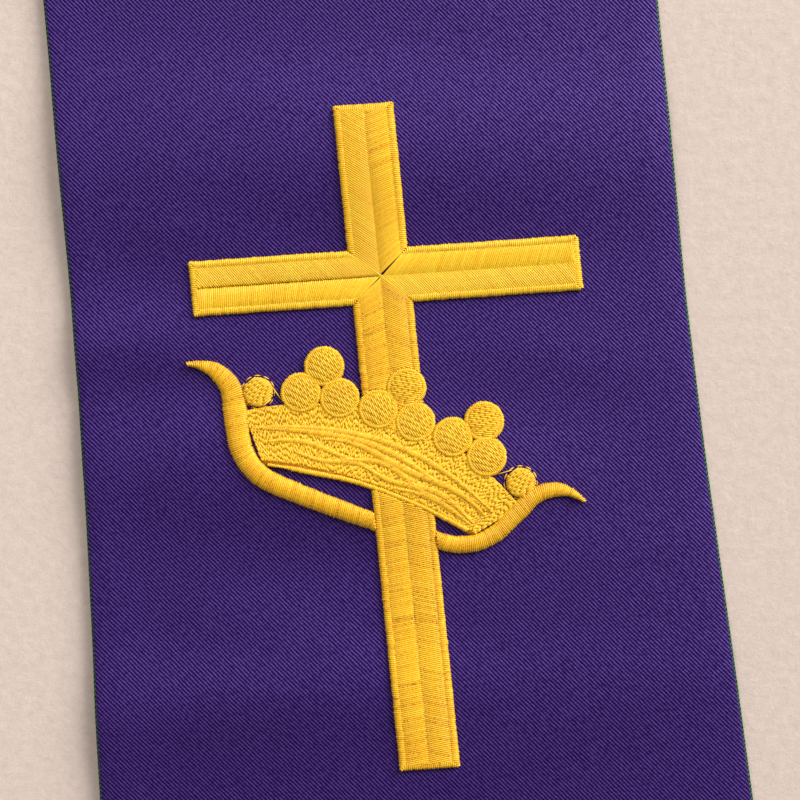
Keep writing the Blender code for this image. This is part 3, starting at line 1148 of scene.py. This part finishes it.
@dataclass(frozen=True)
class CrownPlan:
    """The crown, in its own tilted frame: lateral to its right, up to its top."""

    across: float = 1.7 * MM
    below: float = -27.2 * MM
    tilt: float = math.radians(24.35)
    pearl: float = 4.2 * MM
    end_pearl: float = 3.3 * MM
    end_pearl_at: tuple[float, float] = (29.1 * MM, -7.2 * MM)
    cluster_radius: float = 4.75 * MM
    top_pearl_in: float = 1.0 * MM
    cluster_spacing: float = 17.0 * MM
    cluster_drop: float = 1.3 * MM
    cluster_fan: float = math.radians(11)
    band_foot: float = 21.8 * MM
    band_head: float = 28.8 * MM
    band_lower: tuple[float, float] = (-18.8 * MM, -20.9 * MM)
    band_upper: tuple[float, float] = (-3.4 * MM, -11.4 * MM)
    pearl_lap: float = 0.1 * MM
    band_laps: tuple[float, float] = (0.2 * MM, 2.0 * MM)
    rim_start: float = -24.9 * MM
    rim_parting: float = 0.35
    rim_skew: float = 0.25 * MM
    rim_stretch: tuple[float, float] = (1.03, 0.985)
    rim_fullness: tuple[float, float] = (1.06, 0.84)
    rim_arcs: tuple = (
        (18.7 * MM, math.radians(4)),
        (13.1 * MM, math.radians(60)),
        (7.5 * MM, 0.0),
        (11.3 * MM, math.radians(-77)),
        (1.8 * MM, math.radians(-8)),
    )
    rim_widths: tuple = (
        (0, 3.8 * MM),
        (0.45, 4.3 * MM),
        (0.72, 4.8 * MM),
        (0.88, 3.6 * MM),
        (1, 0.7 * MM),
    )

    def point(self, lateral: Points, up: Points) -> tuple[Points, Points]:
        """A point of the crown, from the cross's crossing."""
        u = self.across + lateral * math.cos(self.tilt) + up * math.sin(self.tilt)
        return u, self.below - lateral * math.sin(self.tilt) + up * math.cos(self.tilt)

    def own(self, u: Points, v: Points) -> tuple[Points, Points]:
        """The crown's own lateral and up of a point given from the crossing.

        Args:
            u: places across the emblem.
            v: places up it.

        Returns:
            The lateral and the up.
        """
        du, dv = u - self.across, v - self.below
        lateral = du * math.cos(self.tilt) - dv * math.sin(self.tilt)
        return lateral, du * math.sin(self.tilt) + dv * math.cos(self.tilt)

    def pearls(self) -> list[tuple[float, float]]:
        """The middles of the nine pearls of the three clusters.

        Returns:
            Each one's lateral and up in the crown's frame.
        """
        found = []
        for cluster in (-1, 0, 1):
            for corner in range(3):
                angle = math.radians(90 - 120 * corner) - cluster * self.cluster_fan
                reach = self.cluster_radius - (self.top_pearl_in if corner == 0 else 0)
                x = cluster * self.cluster_spacing + reach * math.cos(angle)
                y = reach * math.sin(angle) - abs(cluster) * self.cluster_drop
                found.append((x, y))
        return found

    def bow(self, ends: tuple[float, float], reach: float, lateral: Points) -> Points:
        """A shallow bow's height, from its heights in the middle and at its reach."""
        return ends[0] + (ends[1] - ends[0]) * (lateral / reach) ** 2

    def band_point(self, across: Points, share: Points) -> tuple[Points, Points]:
        """A place in the band, across from -1 to 1 and up from 0 to 1, in the crown's frame.

        Args:
            across: shares of the band's half width.
            share: shares of its height.

        Returns:
            The lateral and the up.
        """
        foot, head = across * self.band_foot, across * self.band_head
        low = self.bow(self.band_lower, self.band_foot, foot)
        high = self.bow(self.band_upper, self.band_head, head)
        return foot + share * (head - foot), low + share * (high - low)

    def rim_line(self, step: float) -> Points:
        """Points of the rim's middle line, as lateral, up, heading and share of its length.

        Args:
            step: about how far apart the points lie.

        Returns:
            One row for each point.
        """
        total = sum(length for length, _ in self.rim_arcs)
        x, y, turned, run = 0.0, self.rim_start, 0.0, 0.0
        line = [(x, y, turned, 0.0)]
        for length, turn in self.rim_arcs:
            steps = max(1, round(length / step))
            for _ in range(steps):
                turned += turn / steps / 2
                x += length / steps * math.cos(turned)
                y += length / steps * math.sin(turned)
                turned += turn / steps / 2
                run += length / steps
                line.append((x, y, turned, run / total))
        return np.array(line)

    def covers(self, u: Points, v: Points) -> Points:
        """Whether the crown's pearls or band lie over places of the shaft.

        Args:
            u: places across the emblem.
            v: places up it.

        Returns:
            Whether each place is covered.
        """
        lateral, up = self.own(u, v)
        hidden = np.zeros(np.shape(lateral), bool)
        for x, y in self.pearls():
            hidden |= np.hypot(lateral - x, up - y) < self.pearl - self.pearl_lap
        low = self.bow(self.band_lower, self.band_foot, lateral) + self.band_laps[0]
        high = self.bow(self.band_upper, self.band_head, lateral) - self.band_laps[1]
        return hidden | ((low < up) & (up < high))


CROSS = CrossPlan()
CROWN = CrownPlan()


@dataclass(frozen=True)
class Stroke:
    """One of the cross's four strokes, from the crossing outwards, with two columns of threads.

    Each column has a slant, how far it leans outwards per unit of width, and a parting, how far
    from the crossing it starts. The overlap is how far the columns reach past the middle, and
    the tone is painted sheen or shade: how light the threads look, which the light falling along
    their direction gives them.
    """

    ahead: tuple[int, int]
    aside: tuple[int, int]
    half: float
    other: float
    length: float
    slants: tuple[float, float]
    partings: tuple[float, float]
    overlap: float
    tone: float

    def put(self, along: Points, across: Points) -> Points:
        """Turns places along and across the stroke into (across, up) of the emblem.

        Args:
            along: distances from the crossing.
            across: distances from the stroke's middle.

        Returns:
            The places, one in each row.
        """
        p = along * self.ahead[0] + across * self.aside[0]
        q = along * self.ahead[1] + across * self.aside[1]
        return np.column_stack(CROSS.point(p, q))


@dataclass
class GoldCross:
    """The embroidered cross of one front."""

    side: Side

    def build(self) -> bpy.types.Object:
        """Stitches the four strokes and makes the piece.

        Returns:
            The piece.
        """
        work = Stitchwork(self.side, 11)
        shaft, arm = CROSS.shaft_width / 2, CROSS.arm_width / 2
        # Some strokes part along their mitre, and the inner arm along its middle, as dark slits
        wide, narrow, lapped, apart = 0.4 * MM, 0.36 * MM, 0.25 * MM, -0.07 * MM
        # The last number is each stroke's tone, painted sheen or shade: lighter on the arms, darker
        # down the lower shaft
        strokes = (
            Stroke((0, 1), (1, 0), shaft, arm, CROSS.up, (0.75, 0.3), (0.0, wide), lapped, 0.55),
            Stroke((0, -1), (-1, 0), shaft, arm, CROSS.down, (0.3, 0.15), (0.0, narrow), lapped, 0.42),
            Stroke((-1, 0), (0, 1), arm, shaft, CROSS.inner, (0.12, 0.7), (narrow, 0.0), apart, 0.65),
            Stroke((1, 0), (0, -1), arm, shaft, CROSS.outer, (0.4, 0.75), (wide, 0.0), lapped, 0.68),
        )
        for stroke in strokes:
            for sign, slant, parting in zip((-1, 1), stroke.slants, stroke.partings):
                self.column(work, stroke, sign, slant, parting)
                self.side_border(work, stroke, sign)
            self.end_border(work, stroke)
        half = self.side.half
        return work.finish(f"gold_cross_{half}", [f"cross_upper_{half}", f"cross_lower_{half}"])

    def column(
        self, work: Stitchwork, stroke: Stroke, sign: int, slant: float, parting: float
    ) -> None:
        """Stitches one of a stroke's two columns, fanned out from the crossing's mitre.

        Args:
            work: where the stitches go.
            stroke: the stroke.
            sign: which side of the stroke's middle the column is on.
            slant: how far it leans outwards, per unit of width.
            parting: how far from the crossing it starts.
        """
        width = stroke.half - CROSS.border + CROSS.tuck
        mitre = (stroke.other - CROSS.border + CROSS.tuck) / width
        limit = stroke.length - CROSS.border + CROSS.tuck
        along, starts, ends = parting, [], []
        while along < limit:
            lean = slant + (mitre - slant) * math.exp(-along / CROSS.fan)
            reach = min(1.0, (limit - along) / (lean * width))
            starts.append((along, -sign * stroke.overlap))
            ends.append((along + reach * lean * width, sign * reach * width))
            along += work.pitch * math.sqrt(1 + lean**2)
        starts, ends = stroke.put(*np.array(starts).T), stroke.put(*np.array(ends).T)
        rows = work.satin(starts, ends, CROSS.column_height, 6, CROWN.covers)
        work.field(rows, shades=(0.05, 0.1), tone=stroke.tone)

    def side_border(self, work: Stitchwork, stroke: Stroke, sign: int) -> None:
        """Stitches the satin border along one side, mitred at the crossing and at the end.

        Args:
            work: where the stitches go.
            stroke: the stroke.
            sign: which side of its middle the border is on.
        """
        along = np.arange(stroke.other - CROSS.border + work.pitch / 2, stroke.length, work.pitch)
        outer = stroke.half - np.maximum(0, stroke.other - along)
        inner = stroke.half - np.minimum(CROSS.border, stroke.length - along)
        starts, ends = stroke.put(along, sign * outer), stroke.put(along, sign * inner)
        rows = work.satin(starts, ends, CROSS.border_height, 6, CROWN.covers)
        # Painted shade darkens the border most along its outer edge
        work.field(rows, shades=(0.45, 0.1), tone=stroke.tone)

    def end_border(self, work: Stitchwork, stroke: Stroke) -> None:
        """Stitches the satin border across a stroke's end.

        Args:
            work: where the stitches go.
            stroke: the stroke.
        """
        across = np.arange(work.pitch / 2 - stroke.half, stroke.half, work.pitch)
        depth = np.minimum(CROSS.border, stroke.half - np.abs(across))
        starts = stroke.put(np.full_like(across, stroke.length), across)
        ends = stroke.put(stroke.length - depth, across)
        rows = work.satin(starts, ends, CROSS.border_height, 6)
        # Painted shade darkens the end border most along its outer edge
        work.field(rows, shades=(0.45, 0.1), tone=stroke.tone)


@dataclass(frozen=True)
class Strand:
    """A raised strand that waves along the band, with its width and crest in millimetres.

    It starts and ends at places across the band, from -1 to 1, and waves about a level and a
    slope given as shares of the band's height.
    """

    start: float
    end: float
    level: float
    slope: float
    wave: float
    waves: float
    phase: float
    width: float
    crest: float

    def share(self, across: Points) -> Points:
        """How far up the band the strand runs at places across it."""
        turn = 2 * np.pi * (self.waves * across / 2 + self.phase)
        return self.level + self.slope * across + self.wave * np.sin(turn)


STRANDS = (
    Strand(-0.98, 0.98, 0.66, -0.05, 0.02, 1.0, 0.10, 1.7, 1.02),
    Strand(-0.96, 0.55, 0.55, -0.13, 0.02, 1.6, 0.30, 2.0, 1.02),
    Strand(-0.94, -0.20, 0.34, -0.10, 0.05, 2.2, 0.05, 1.6, 1.00),
    Strand(-0.72, 0.10, 0.22, -0.08, 0.05, 2.6, 0.45, 1.4, 0.98),
    Strand(-0.50, 0.97, 0.48, -0.04, 0.05, 1.8, 0.55, 2.1, 1.04),
    Strand(-0.34, 0.72, 0.33, -0.06, 0.06, 2.4, 0.20, 1.8, 1.00),
    Strand(-0.12, 0.96, 0.26, 0.02, 0.06, 2.2, 0.60, 1.9, 1.02),
    Strand(0.20, 0.97, 0.16, 0.04, 0.04, 2.0, 0.65, 1.6, 1.00),
)


@dataclass
class GoldCrown:
    """The embroidered crown of one front: a curled rim, a figured band and eleven pearls.

    The ground's reach and shares are in the band's own measure, across and up it.
    """

    side: Side
    ground_stitch: float = 1.4 * MM
    ground_pitch: float = 0.31 * MM
    ground_height: float = 0.84 * MM
    ground_reach: float = 1.05
    ground_shares: tuple[float, float] = (0.075, 1.04)
    ring_width: float = 0.9 * MM
    ring_lean: float = 0.06

    def build(self) -> list[bpy.types.Object]:
        """Stitches the crown's three pieces."""
        return [self.rim(), self.band(), self.pearls()]

    def rim(self) -> bpy.types.Object:
        """Stitches both sides of the thick satin rim, which passes behind the shaft.

        Returns:
            The piece.
        """
        work = Stitchwork(self.side, 23)

        def behind_shaft(u: Points, v: Points) -> Points:
            """The shaft lies over the rim's middle."""
            return np.abs(CROSS.shaft_offset(u, v)) < CROSS.shaft_width / 2 - 0.1 * MM

        line = CROWN.rim_line(work.pitch)
        widths = smooth_table(CROWN.rim_widths, line[:, 3])
        for sign, stretch, fullness in zip((-1, 1), CROWN.rim_stretch, CROWN.rim_fullness):
            parted = np.clip(line[:, 3] / CROWN.rim_parting, 0, 1)
            reach = widths / 2 * (1 + (fullness - 1) * parted)
            rails = []
            for edge in (1, -1):
                skew = edge * CROWN.rim_skew
                x = line[:, 0] - edge * reach * np.sin(line[:, 2]) + skew * np.cos(line[:, 2])
                y = line[:, 1] + edge * reach * np.cos(line[:, 2]) + skew * np.sin(line[:, 2])
                rails.append(np.column_stack(CROWN.point(sign * stretch * x, y)))
            rows = work.satin(*rails, swell(0.1 * MM, 1.4 * MM, 0.42), 7, behind_shaft)
            # The rim's deeper tone is painted shade, as its threads catch less of the light
            work.field(rows, tone=0.4)
        half = self.side.half
        return work.finish(
            f"gold_crown_rim_{half}", [f"crown_rim_inner_{half}", f"crown_rim_outer_{half}"]
        )

    def band(self) -> bpy.types.Object:
        """Stitches the band: a filled ground, raised strands and a rope along its foot.

        Returns:
            The piece.
        """
        work = Stitchwork(self.side, 37)
        self.ground(work)
        for strand in STRANDS:
            self.strand(work, strand)
        self.rope(work)
        half = self.side.half
        return work.finish(f"gold_crown_band_{half}", [f"crown_band_{half}"])

    def ground(self, work: Stitchwork) -> None:
        """Fills the band with short scattered stitches that run up it, from the groove.

        Args:
            work: where the stitches go.
        """
        stitch, shortest = self.ground_stitch, 0.4 * MM
        reach = self.ground_reach
        across = np.linspace(-reach, reach, 25)
        # The bed starts low, in the dark groove over the rope
        bed = [self.laid(*CROWN.band_point(across, np.zeros(25)), 0.3 * MM)]
        for share in np.linspace(*self.ground_shares, 16):
            place = CROWN.band_point(across, np.full(25, share))
            bed.append(self.laid(*place, self.ground_height))
        work.padding(np.array(bed))
        threads = []
        share = np.linspace(*self.ground_shares, 40)
        for place in np.arange(-reach, reach, self.ground_pitch / CROWN.band_head):
            lateral, up = CROWN.band_point(np.full(40, place), share)
            run = running_length(lateral, up)
            start = -stitch * work.random.uniform()
            while start < run[-1] - shortest:
                end = start + stitch * work.random.uniform(0.7, 1.3)
                at = np.linspace(max(start, 0), min(end, run[-1]), 4)
                start = end
                if at[-1] - at[0] < shortest:
                    continue
                x, y = np.interp(at, run, lateral), np.interp(at, run, up)
                if self.under_pearl(x.mean(), y.mean()):
                    continue
                x = x + np.linspace(-1, 1, 4) * work.jitter(0.06 * MM) + work.jitter(0.03 * MM)
                height = np.array([0.8, 0.84, 0.84, 0.8]) * MM + work.jitter(0.02 * MM)
                threads.append(self.laid(x, y, height))
        work.threads(np.array(threads), shades=(0.3, 0.2))

    def under_pearl(self, lateral: float, up: float) -> bool:
        """Whether one of the clusters' pearls hides a place of the band."""
        reach = CROWN.pearl - 0.3 * MM
        return any(math.hypot(lateral - x, up - y) < reach for x, y in CROWN.pearls())

    def laid(self, lateral: Points, up: Points, height: Points | float) -> Row:
        """A row of the crown's own points as a row of the emblem."""
        u, v = CROWN.point(np.asarray(lateral), np.asarray(up))
        return np.column_stack([u, v, np.broadcast_to(height, u.shape)])

    def rails(
        self, lateral: Points, up: Points, at: Points, reach: Points, slant: float
    ) -> list[Points]:
        """Finds the rails of satin stitches that cross a line of the crown.

        Args:
            lateral: the line's lateral.
            up: the line's up.
            at: how far along the line each stitch crosses it.
            reach: half of each stitch's width.
            slant: how far the stitches lean back from square to the line, in radians.

        Returns:
            The two rails, in (across, up) of the emblem.
        """
        run = running_length(lateral, up)
        x, y = np.interp(at, run, lateral), np.interp(at, run, up)
        lean = np.arctan2(np.gradient(y), np.gradient(x)) + math.pi / 2 - slant
        return [
            np.column_stack(CROWN.point(x + e * reach * np.cos(lean), y + e * reach * np.sin(lean)))
            for e in (1, -1)
        ]

    def strand(self, work: Stitchwork, strand: Strand) -> None:
        """Stitches one raised strand along the band, with tapered ends.

        Args:
            work: where the stitches go.
            strand: the strand.
        """
        across = np.linspace(strand.start, strand.end, 200)
        line = CROWN.band_point(across, strand.share(across))
        length = running_length(*line)[-1]
        at = np.arange(0, length, work.pitch)
        taper = np.sin(np.pi * np.clip(at / length, 0.04, 0.96)) ** 0.5
        rails = self.rails(*line, at, strand.width * MM / 2 * taper, 0.6)
        section = swell(0.74 * MM, strand.crest * MM, 0.45)
        # The strands' deeper tone is painted shade, as their threads catch less of the light than the
        # ground's
        work.field(work.satin(*rails, section, 5), 2, shades=(0.2, 0.2), tone=0.38)

    def rope(self, work: Stitchwork) -> None:
        """Stitches the narrow rope along the band's foot, a dark line's width away from it.

        Args:
            work: where the stitches go.
        """
        lateral = np.linspace(-1.0, 1.0, 400) * CROWN.band_foot * 1.01
        # The dark line over the rope narrows from 14 to 2 mm left of the band's middle
        closing = np.clip((lateral + 14 * MM) / (12 * MM), 0, 1)
        up = CROWN.bow(CROWN.band_lower, CROWN.band_foot, lateral)
        up += (0.1 + 0.55 * closing**2 * (3 - 2 * closing)) * MM
        at = np.arange(0, running_length(lateral, up)[-1], work.pitch)
        rails = self.rails(lateral, up, at, 0.6 * MM * np.clip(at / (6 * MM), 0.5, 1), 0.3)
        work.field(work.satin(*rails, swell(0.3 * MM, 1.15 * MM, 0.5), 4), 2)

    def pearls(self) -> bpy.types.Object:
        """Stitches the nine ringed pearls, the two end pearls and the threads between them.

        Returns:
            The piece.
        """
        work = Stitchwork(self.side, 53)
        slants, end_slant = (-40, -35, -42, 28, -38, -45, 24, -30, -36), 58
        crest, end_crest = 1.6 * MM, 1.45 * MM
        # The fill stops short of the outline, and the running stitch goes round outside it
        inset, end_inset, outset = 0.55 * MM, 0.2 * MM, 0.15 * MM
        for (x, y), slant in zip(CROWN.pearls(), slants):
            self.disc(work, x, y, CROWN.pearl - inset, slant, crest)
            self.ring(work, x, y, CROWN.pearl)
        for sign in (-1, 1):
            x, y = sign * CROWN.end_pearl_at[0], CROWN.end_pearl_at[1]
            self.disc(work, x, y, CROWN.end_pearl - end_inset, end_slant, end_crest)
            self.running_stitch(work, x, y, CROWN.end_pearl + outset)
            self.jump_thread(work, (x - sign * 2.4 * MM, y + 2.0 * MM), (x - sign * 5.2 * MM, y))
        half = self.side.half
        nodes = [f"pearl_{number:02d}_{half}" for number in range(1, 12)]
        return work.finish(f"gold_pearls_{half}", nodes)

    def disc(
        self, work: Stitchwork, x: float, y: float, radius: float, slant: float, crest: float
    ) -> None:
        """Fills a pearl with slanted rows of short, staggered stitches that dome in its middle.

        Args:
            work: where the stitches go.
            x: the lateral of the pearl's middle.
            y: the up of its middle.
            radius: the fill's radius.
            slant: the rows' slant in degrees.
            crest: the height of the dome.
        """
        turn = math.radians(slant)
        foot, dip = 0.9 * MM, 0.03 * MM
        stitch, stagger = 2.3 * MM, 0.38

        def stretch(at: Points, offset: float, sunk: Points | float) -> Row:
            """A stretch of one row, at places along it.

            Args:
                at: the places, from the row's middle.
                offset: the row's distance from the middle.
                sunk: how far each point lies under the dome.

            Returns:
                The row's points.
            """
            lateral = x + at * math.cos(turn) - offset * math.sin(turn)
            up = y + at * math.sin(turn) + offset * math.cos(turn)
            from_middle = np.hypot(at, offset) / radius
            dome = foot + (crest - foot) * np.sqrt(np.clip(1 - from_middle**2, 0, 1))
            return self.laid(lateral, up, dome - sunk)

        rows, stitches = [], []
        for number, offset in enumerate(np.arange(-radius + work.pitch / 2, radius, work.pitch)):
            half = math.sqrt(radius**2 - offset**2) + work.jitter(0.05 * MM)
            rows.append(stretch(half * -np.cos(np.linspace(0, np.pi, 7)), offset, 0.0))
            first = (number * stagger % 1) * stitch - half + work.jitter(0.1 * MM)
            joints = np.arange(first, half, stitch)
            joints = joints[np.abs(joints) < half - 0.35 * MM]
            ends = [-half, *joints, half]
            low = work.jitter(0.012 * MM)
            for near, far in zip(ends[:-1], ends[1:]):
                at = np.linspace(near, far, 5)
                stitches.append(stretch(at, offset, dip * np.array([1, 0, 0, 0, 1]) + low))
        work.threads(np.array(stitches), shades=(0.1, 0.0))
        work.padding(np.array(rows[::2]))

    def ring(self, work: Stitchwork, x: float, y: float, radius: float) -> None:
        """Outlines a pearl with a narrow satin ring.

        Args:
            work: where the stitches go.
            x: the lateral of the pearl's middle.
            y: the up of its middle.
            radius: the ring's outer radius.
        """
        count = round(2 * math.pi * radius / work.pitch)
        angle = np.linspace(0, 2 * math.pi, count + 1)
        rails = [
            np.column_stack(CROWN.point(x + r * np.cos(angle + turn), y + r * np.sin(angle + turn)))
            for r, turn in ((radius, 0.0), (radius - self.ring_width, self.ring_lean))
        ]
        section = bead(0.2 * MM, 1.2 * MM, 0.95 * MM)
        # Painted shade darkens the ring most along its outer edge
        work.field(work.satin(*rails, section, 5), 2, shades=(0.45, 0.15))

    def running_stitch(self, work: Stitchwork, x: float, y: float, radius: float) -> None:
        """Outlines an end pearl with a fine, broken line of running stitch.

        Args:
            work: where the stitches go.
            x: the lateral of the pearl's middle.
            y: the up of its middle.
            radius: the line's radius.
        """
        count, thin = 11, 0.13 * MM
        rows = []
        for i in range(count):
            # Each stitch takes up most of its share of the circle, and leaves a gap
            angle = 2 * math.pi * (i + np.linspace(0.08, 0.8, 5)) / count
            height = np.array([0.05, 0.3, 0.38, 0.3, 0.05]) * MM
            rows.append(self.laid(x + radius * np.cos(angle), y + radius * np.sin(angle), height))
        work.threads(np.array(rows), thin)

    def jump_thread(
        self, work: Stitchwork, start: tuple[float, float], end: tuple[float, float]
    ) -> None:
        """Lays the fine thread that jumps from an end pearl to its neighbour.

        Args:
            work: where the stitches go.
            start: where it leaves, as lateral and up.
            end: where it goes in.
        """
        share = np.linspace(0, 1, 7)
        x = start[0] + share * (end[0] - start[0])
        y = start[1] + share * (end[1] - start[1])
        foot, arch, thin = 0.2 * MM, 0.5 * MM, 0.12 * MM
        height = foot + arch * np.sin(np.pi * share)
        work.threads(np.array([self.laid(x, y, height)]), thin)


@dataclass(frozen=True)
class Studio:
    """The pale floor, the soft light from the upper right and the camera overhead."""

    pixel: float = 0.21 * MM
    crossing_px: tuple[float, float] = (380.3, 276.4)
    frame_px: int = 800
    lens_mm: float = 85.0
    sensor_mm: float = 36.0

    def view_middle(self) -> tuple[float, float]:
        """The place in the scene that lies in the middle of the photograph.

        Returns:
            Its x and y.
        """
        x, y = PLAN.flat_point(np.array(CROSS_FROM_HEM), np.array(CROSS_ACROSS))
        middle = self.frame_px / 2
        return (
            float(x) + (middle - self.crossing_px[0]) * self.pixel,
            float(y) - PLAN.outline_middle - (middle - self.crossing_px[1]) * self.pixel,
        )

    def floor(self) -> bpy.types.Object:
        """Lays the felt floor under the stole.

        Returns:
            The floor.
        """
        reach, drop = 3.0, 0.02 * MM
        corners = np.array([[-1, -1, 0], [1, -1, 0], [1, 1, 0], [-1, 1, 0]]) * reach
        corners[:, 2] = -drop
        floor = add_mesh("floor", corners, [(0, 1, 2, 3)], [WoolFelt().material()])
        return floor

    def camera(self) -> bpy.types.Object:
        """Hangs the camera over the photographed front, looking straight down.

        Returns:
            The camera.
        """
        data = bpy.data.cameras.new("camera")
        data.lens = self.lens_mm
        data.sensor_width = self.sensor_mm
        data.clip_start = 0.01
        camera = bpy.data.objects.new("camera", data)
        x, y = self.view_middle()
        distance = self.frame_px * self.pixel * self.lens_mm / self.sensor_mm
        camera.location = (x, y, PLAN.face_top + distance)
        bpy.context.scene.collection.objects.link(camera)
        bpy.context.scene.camera = camera
        return camera

    def lamp(self, name: str, offset: tuple[float, float, float], size: float, power: float) -> None:
        """Hangs a soft square lamp, aimed at the middle of the view.

        Args:
            name: the lamp's name.
            offset: where it hangs from the middle of the view.
            size: its side.
            power: its power in watts.
        """
        data = bpy.data.lights.new(name, "AREA")
        data.size = size
        data.energy = power
        lamp = bpy.data.objects.new(name, data)
        x, y = self.view_middle()
        lamp.location = (x + offset[0], y + offset[1], offset[2])
        aim = math.hypot(offset[0], offset[1])
        lamp.rotation_euler = (
            math.atan2(aim, offset[2]),
            0,
            math.atan2(offset[1], offset[0]) + math.pi / 2,
        )
        bpy.context.scene.collection.objects.link(lamp)

    def light(self) -> None:
        """Sets the soft key light, a weak fill and an even surround."""
        self.lamp("key_light", (3.75, 3.25, 2.6), 3.6, 475)
        self.lamp("fill_light", (-0.38, 0.64, 1.0), 0.7, 6.2)
        world = bpy.data.worlds.new("studio_surround")
        world.use_nodes = True
        background = world.node_tree.nodes["Background"]
        background.inputs["Color"].default_value = linear("#FFF6F0")
        background.inputs["Strength"].default_value = 0.31
        bpy.context.scene.world = world
        bpy.context.scene.view_settings.view_transform = "Standard"


def main() -> None:
    """Builds the studio, the cloths and the embroidery, and reports each piece."""
    logging.basicConfig(level=logging.INFO, format="%(message)s")
    studio = Studio()
    studio.camera()
    studio.light()
    studio.floor()
    for side in Side:
        half = side.half
        back = Cloth(
            side,
            f"green_back_{half}",
            (f"back_front_{half}", f"back_neck_{half}"),
            "green_twill",
            GREEN_GABARDINE,
            Grain.FACE_DOWN,
            bottom=0.0,
            peek=PLAN.back_peek,
            edge_droop=0.0,
        )
        face = Cloth(
            side,
            f"purple_face_{half}",
            (f"face_front_{half}", f"face_neck_{half}"),
            "purple_twill",
            PURPLE_GABARDINE,
            Grain.FACE_UP,
            bottom=PLAN.cloth + PLAN.layer_gap,
            peek=0.0,
            edge_droop=0.3 * MM,
        )
        for cloth in (back, face):
            piece = cloth.build()
            LOG.info("%s: %d faces", piece.name, len(piece.data.polygons))
        GoldCross(side).build()
        GoldCrown(side).build()


if __name__ == "__main__":
    main()
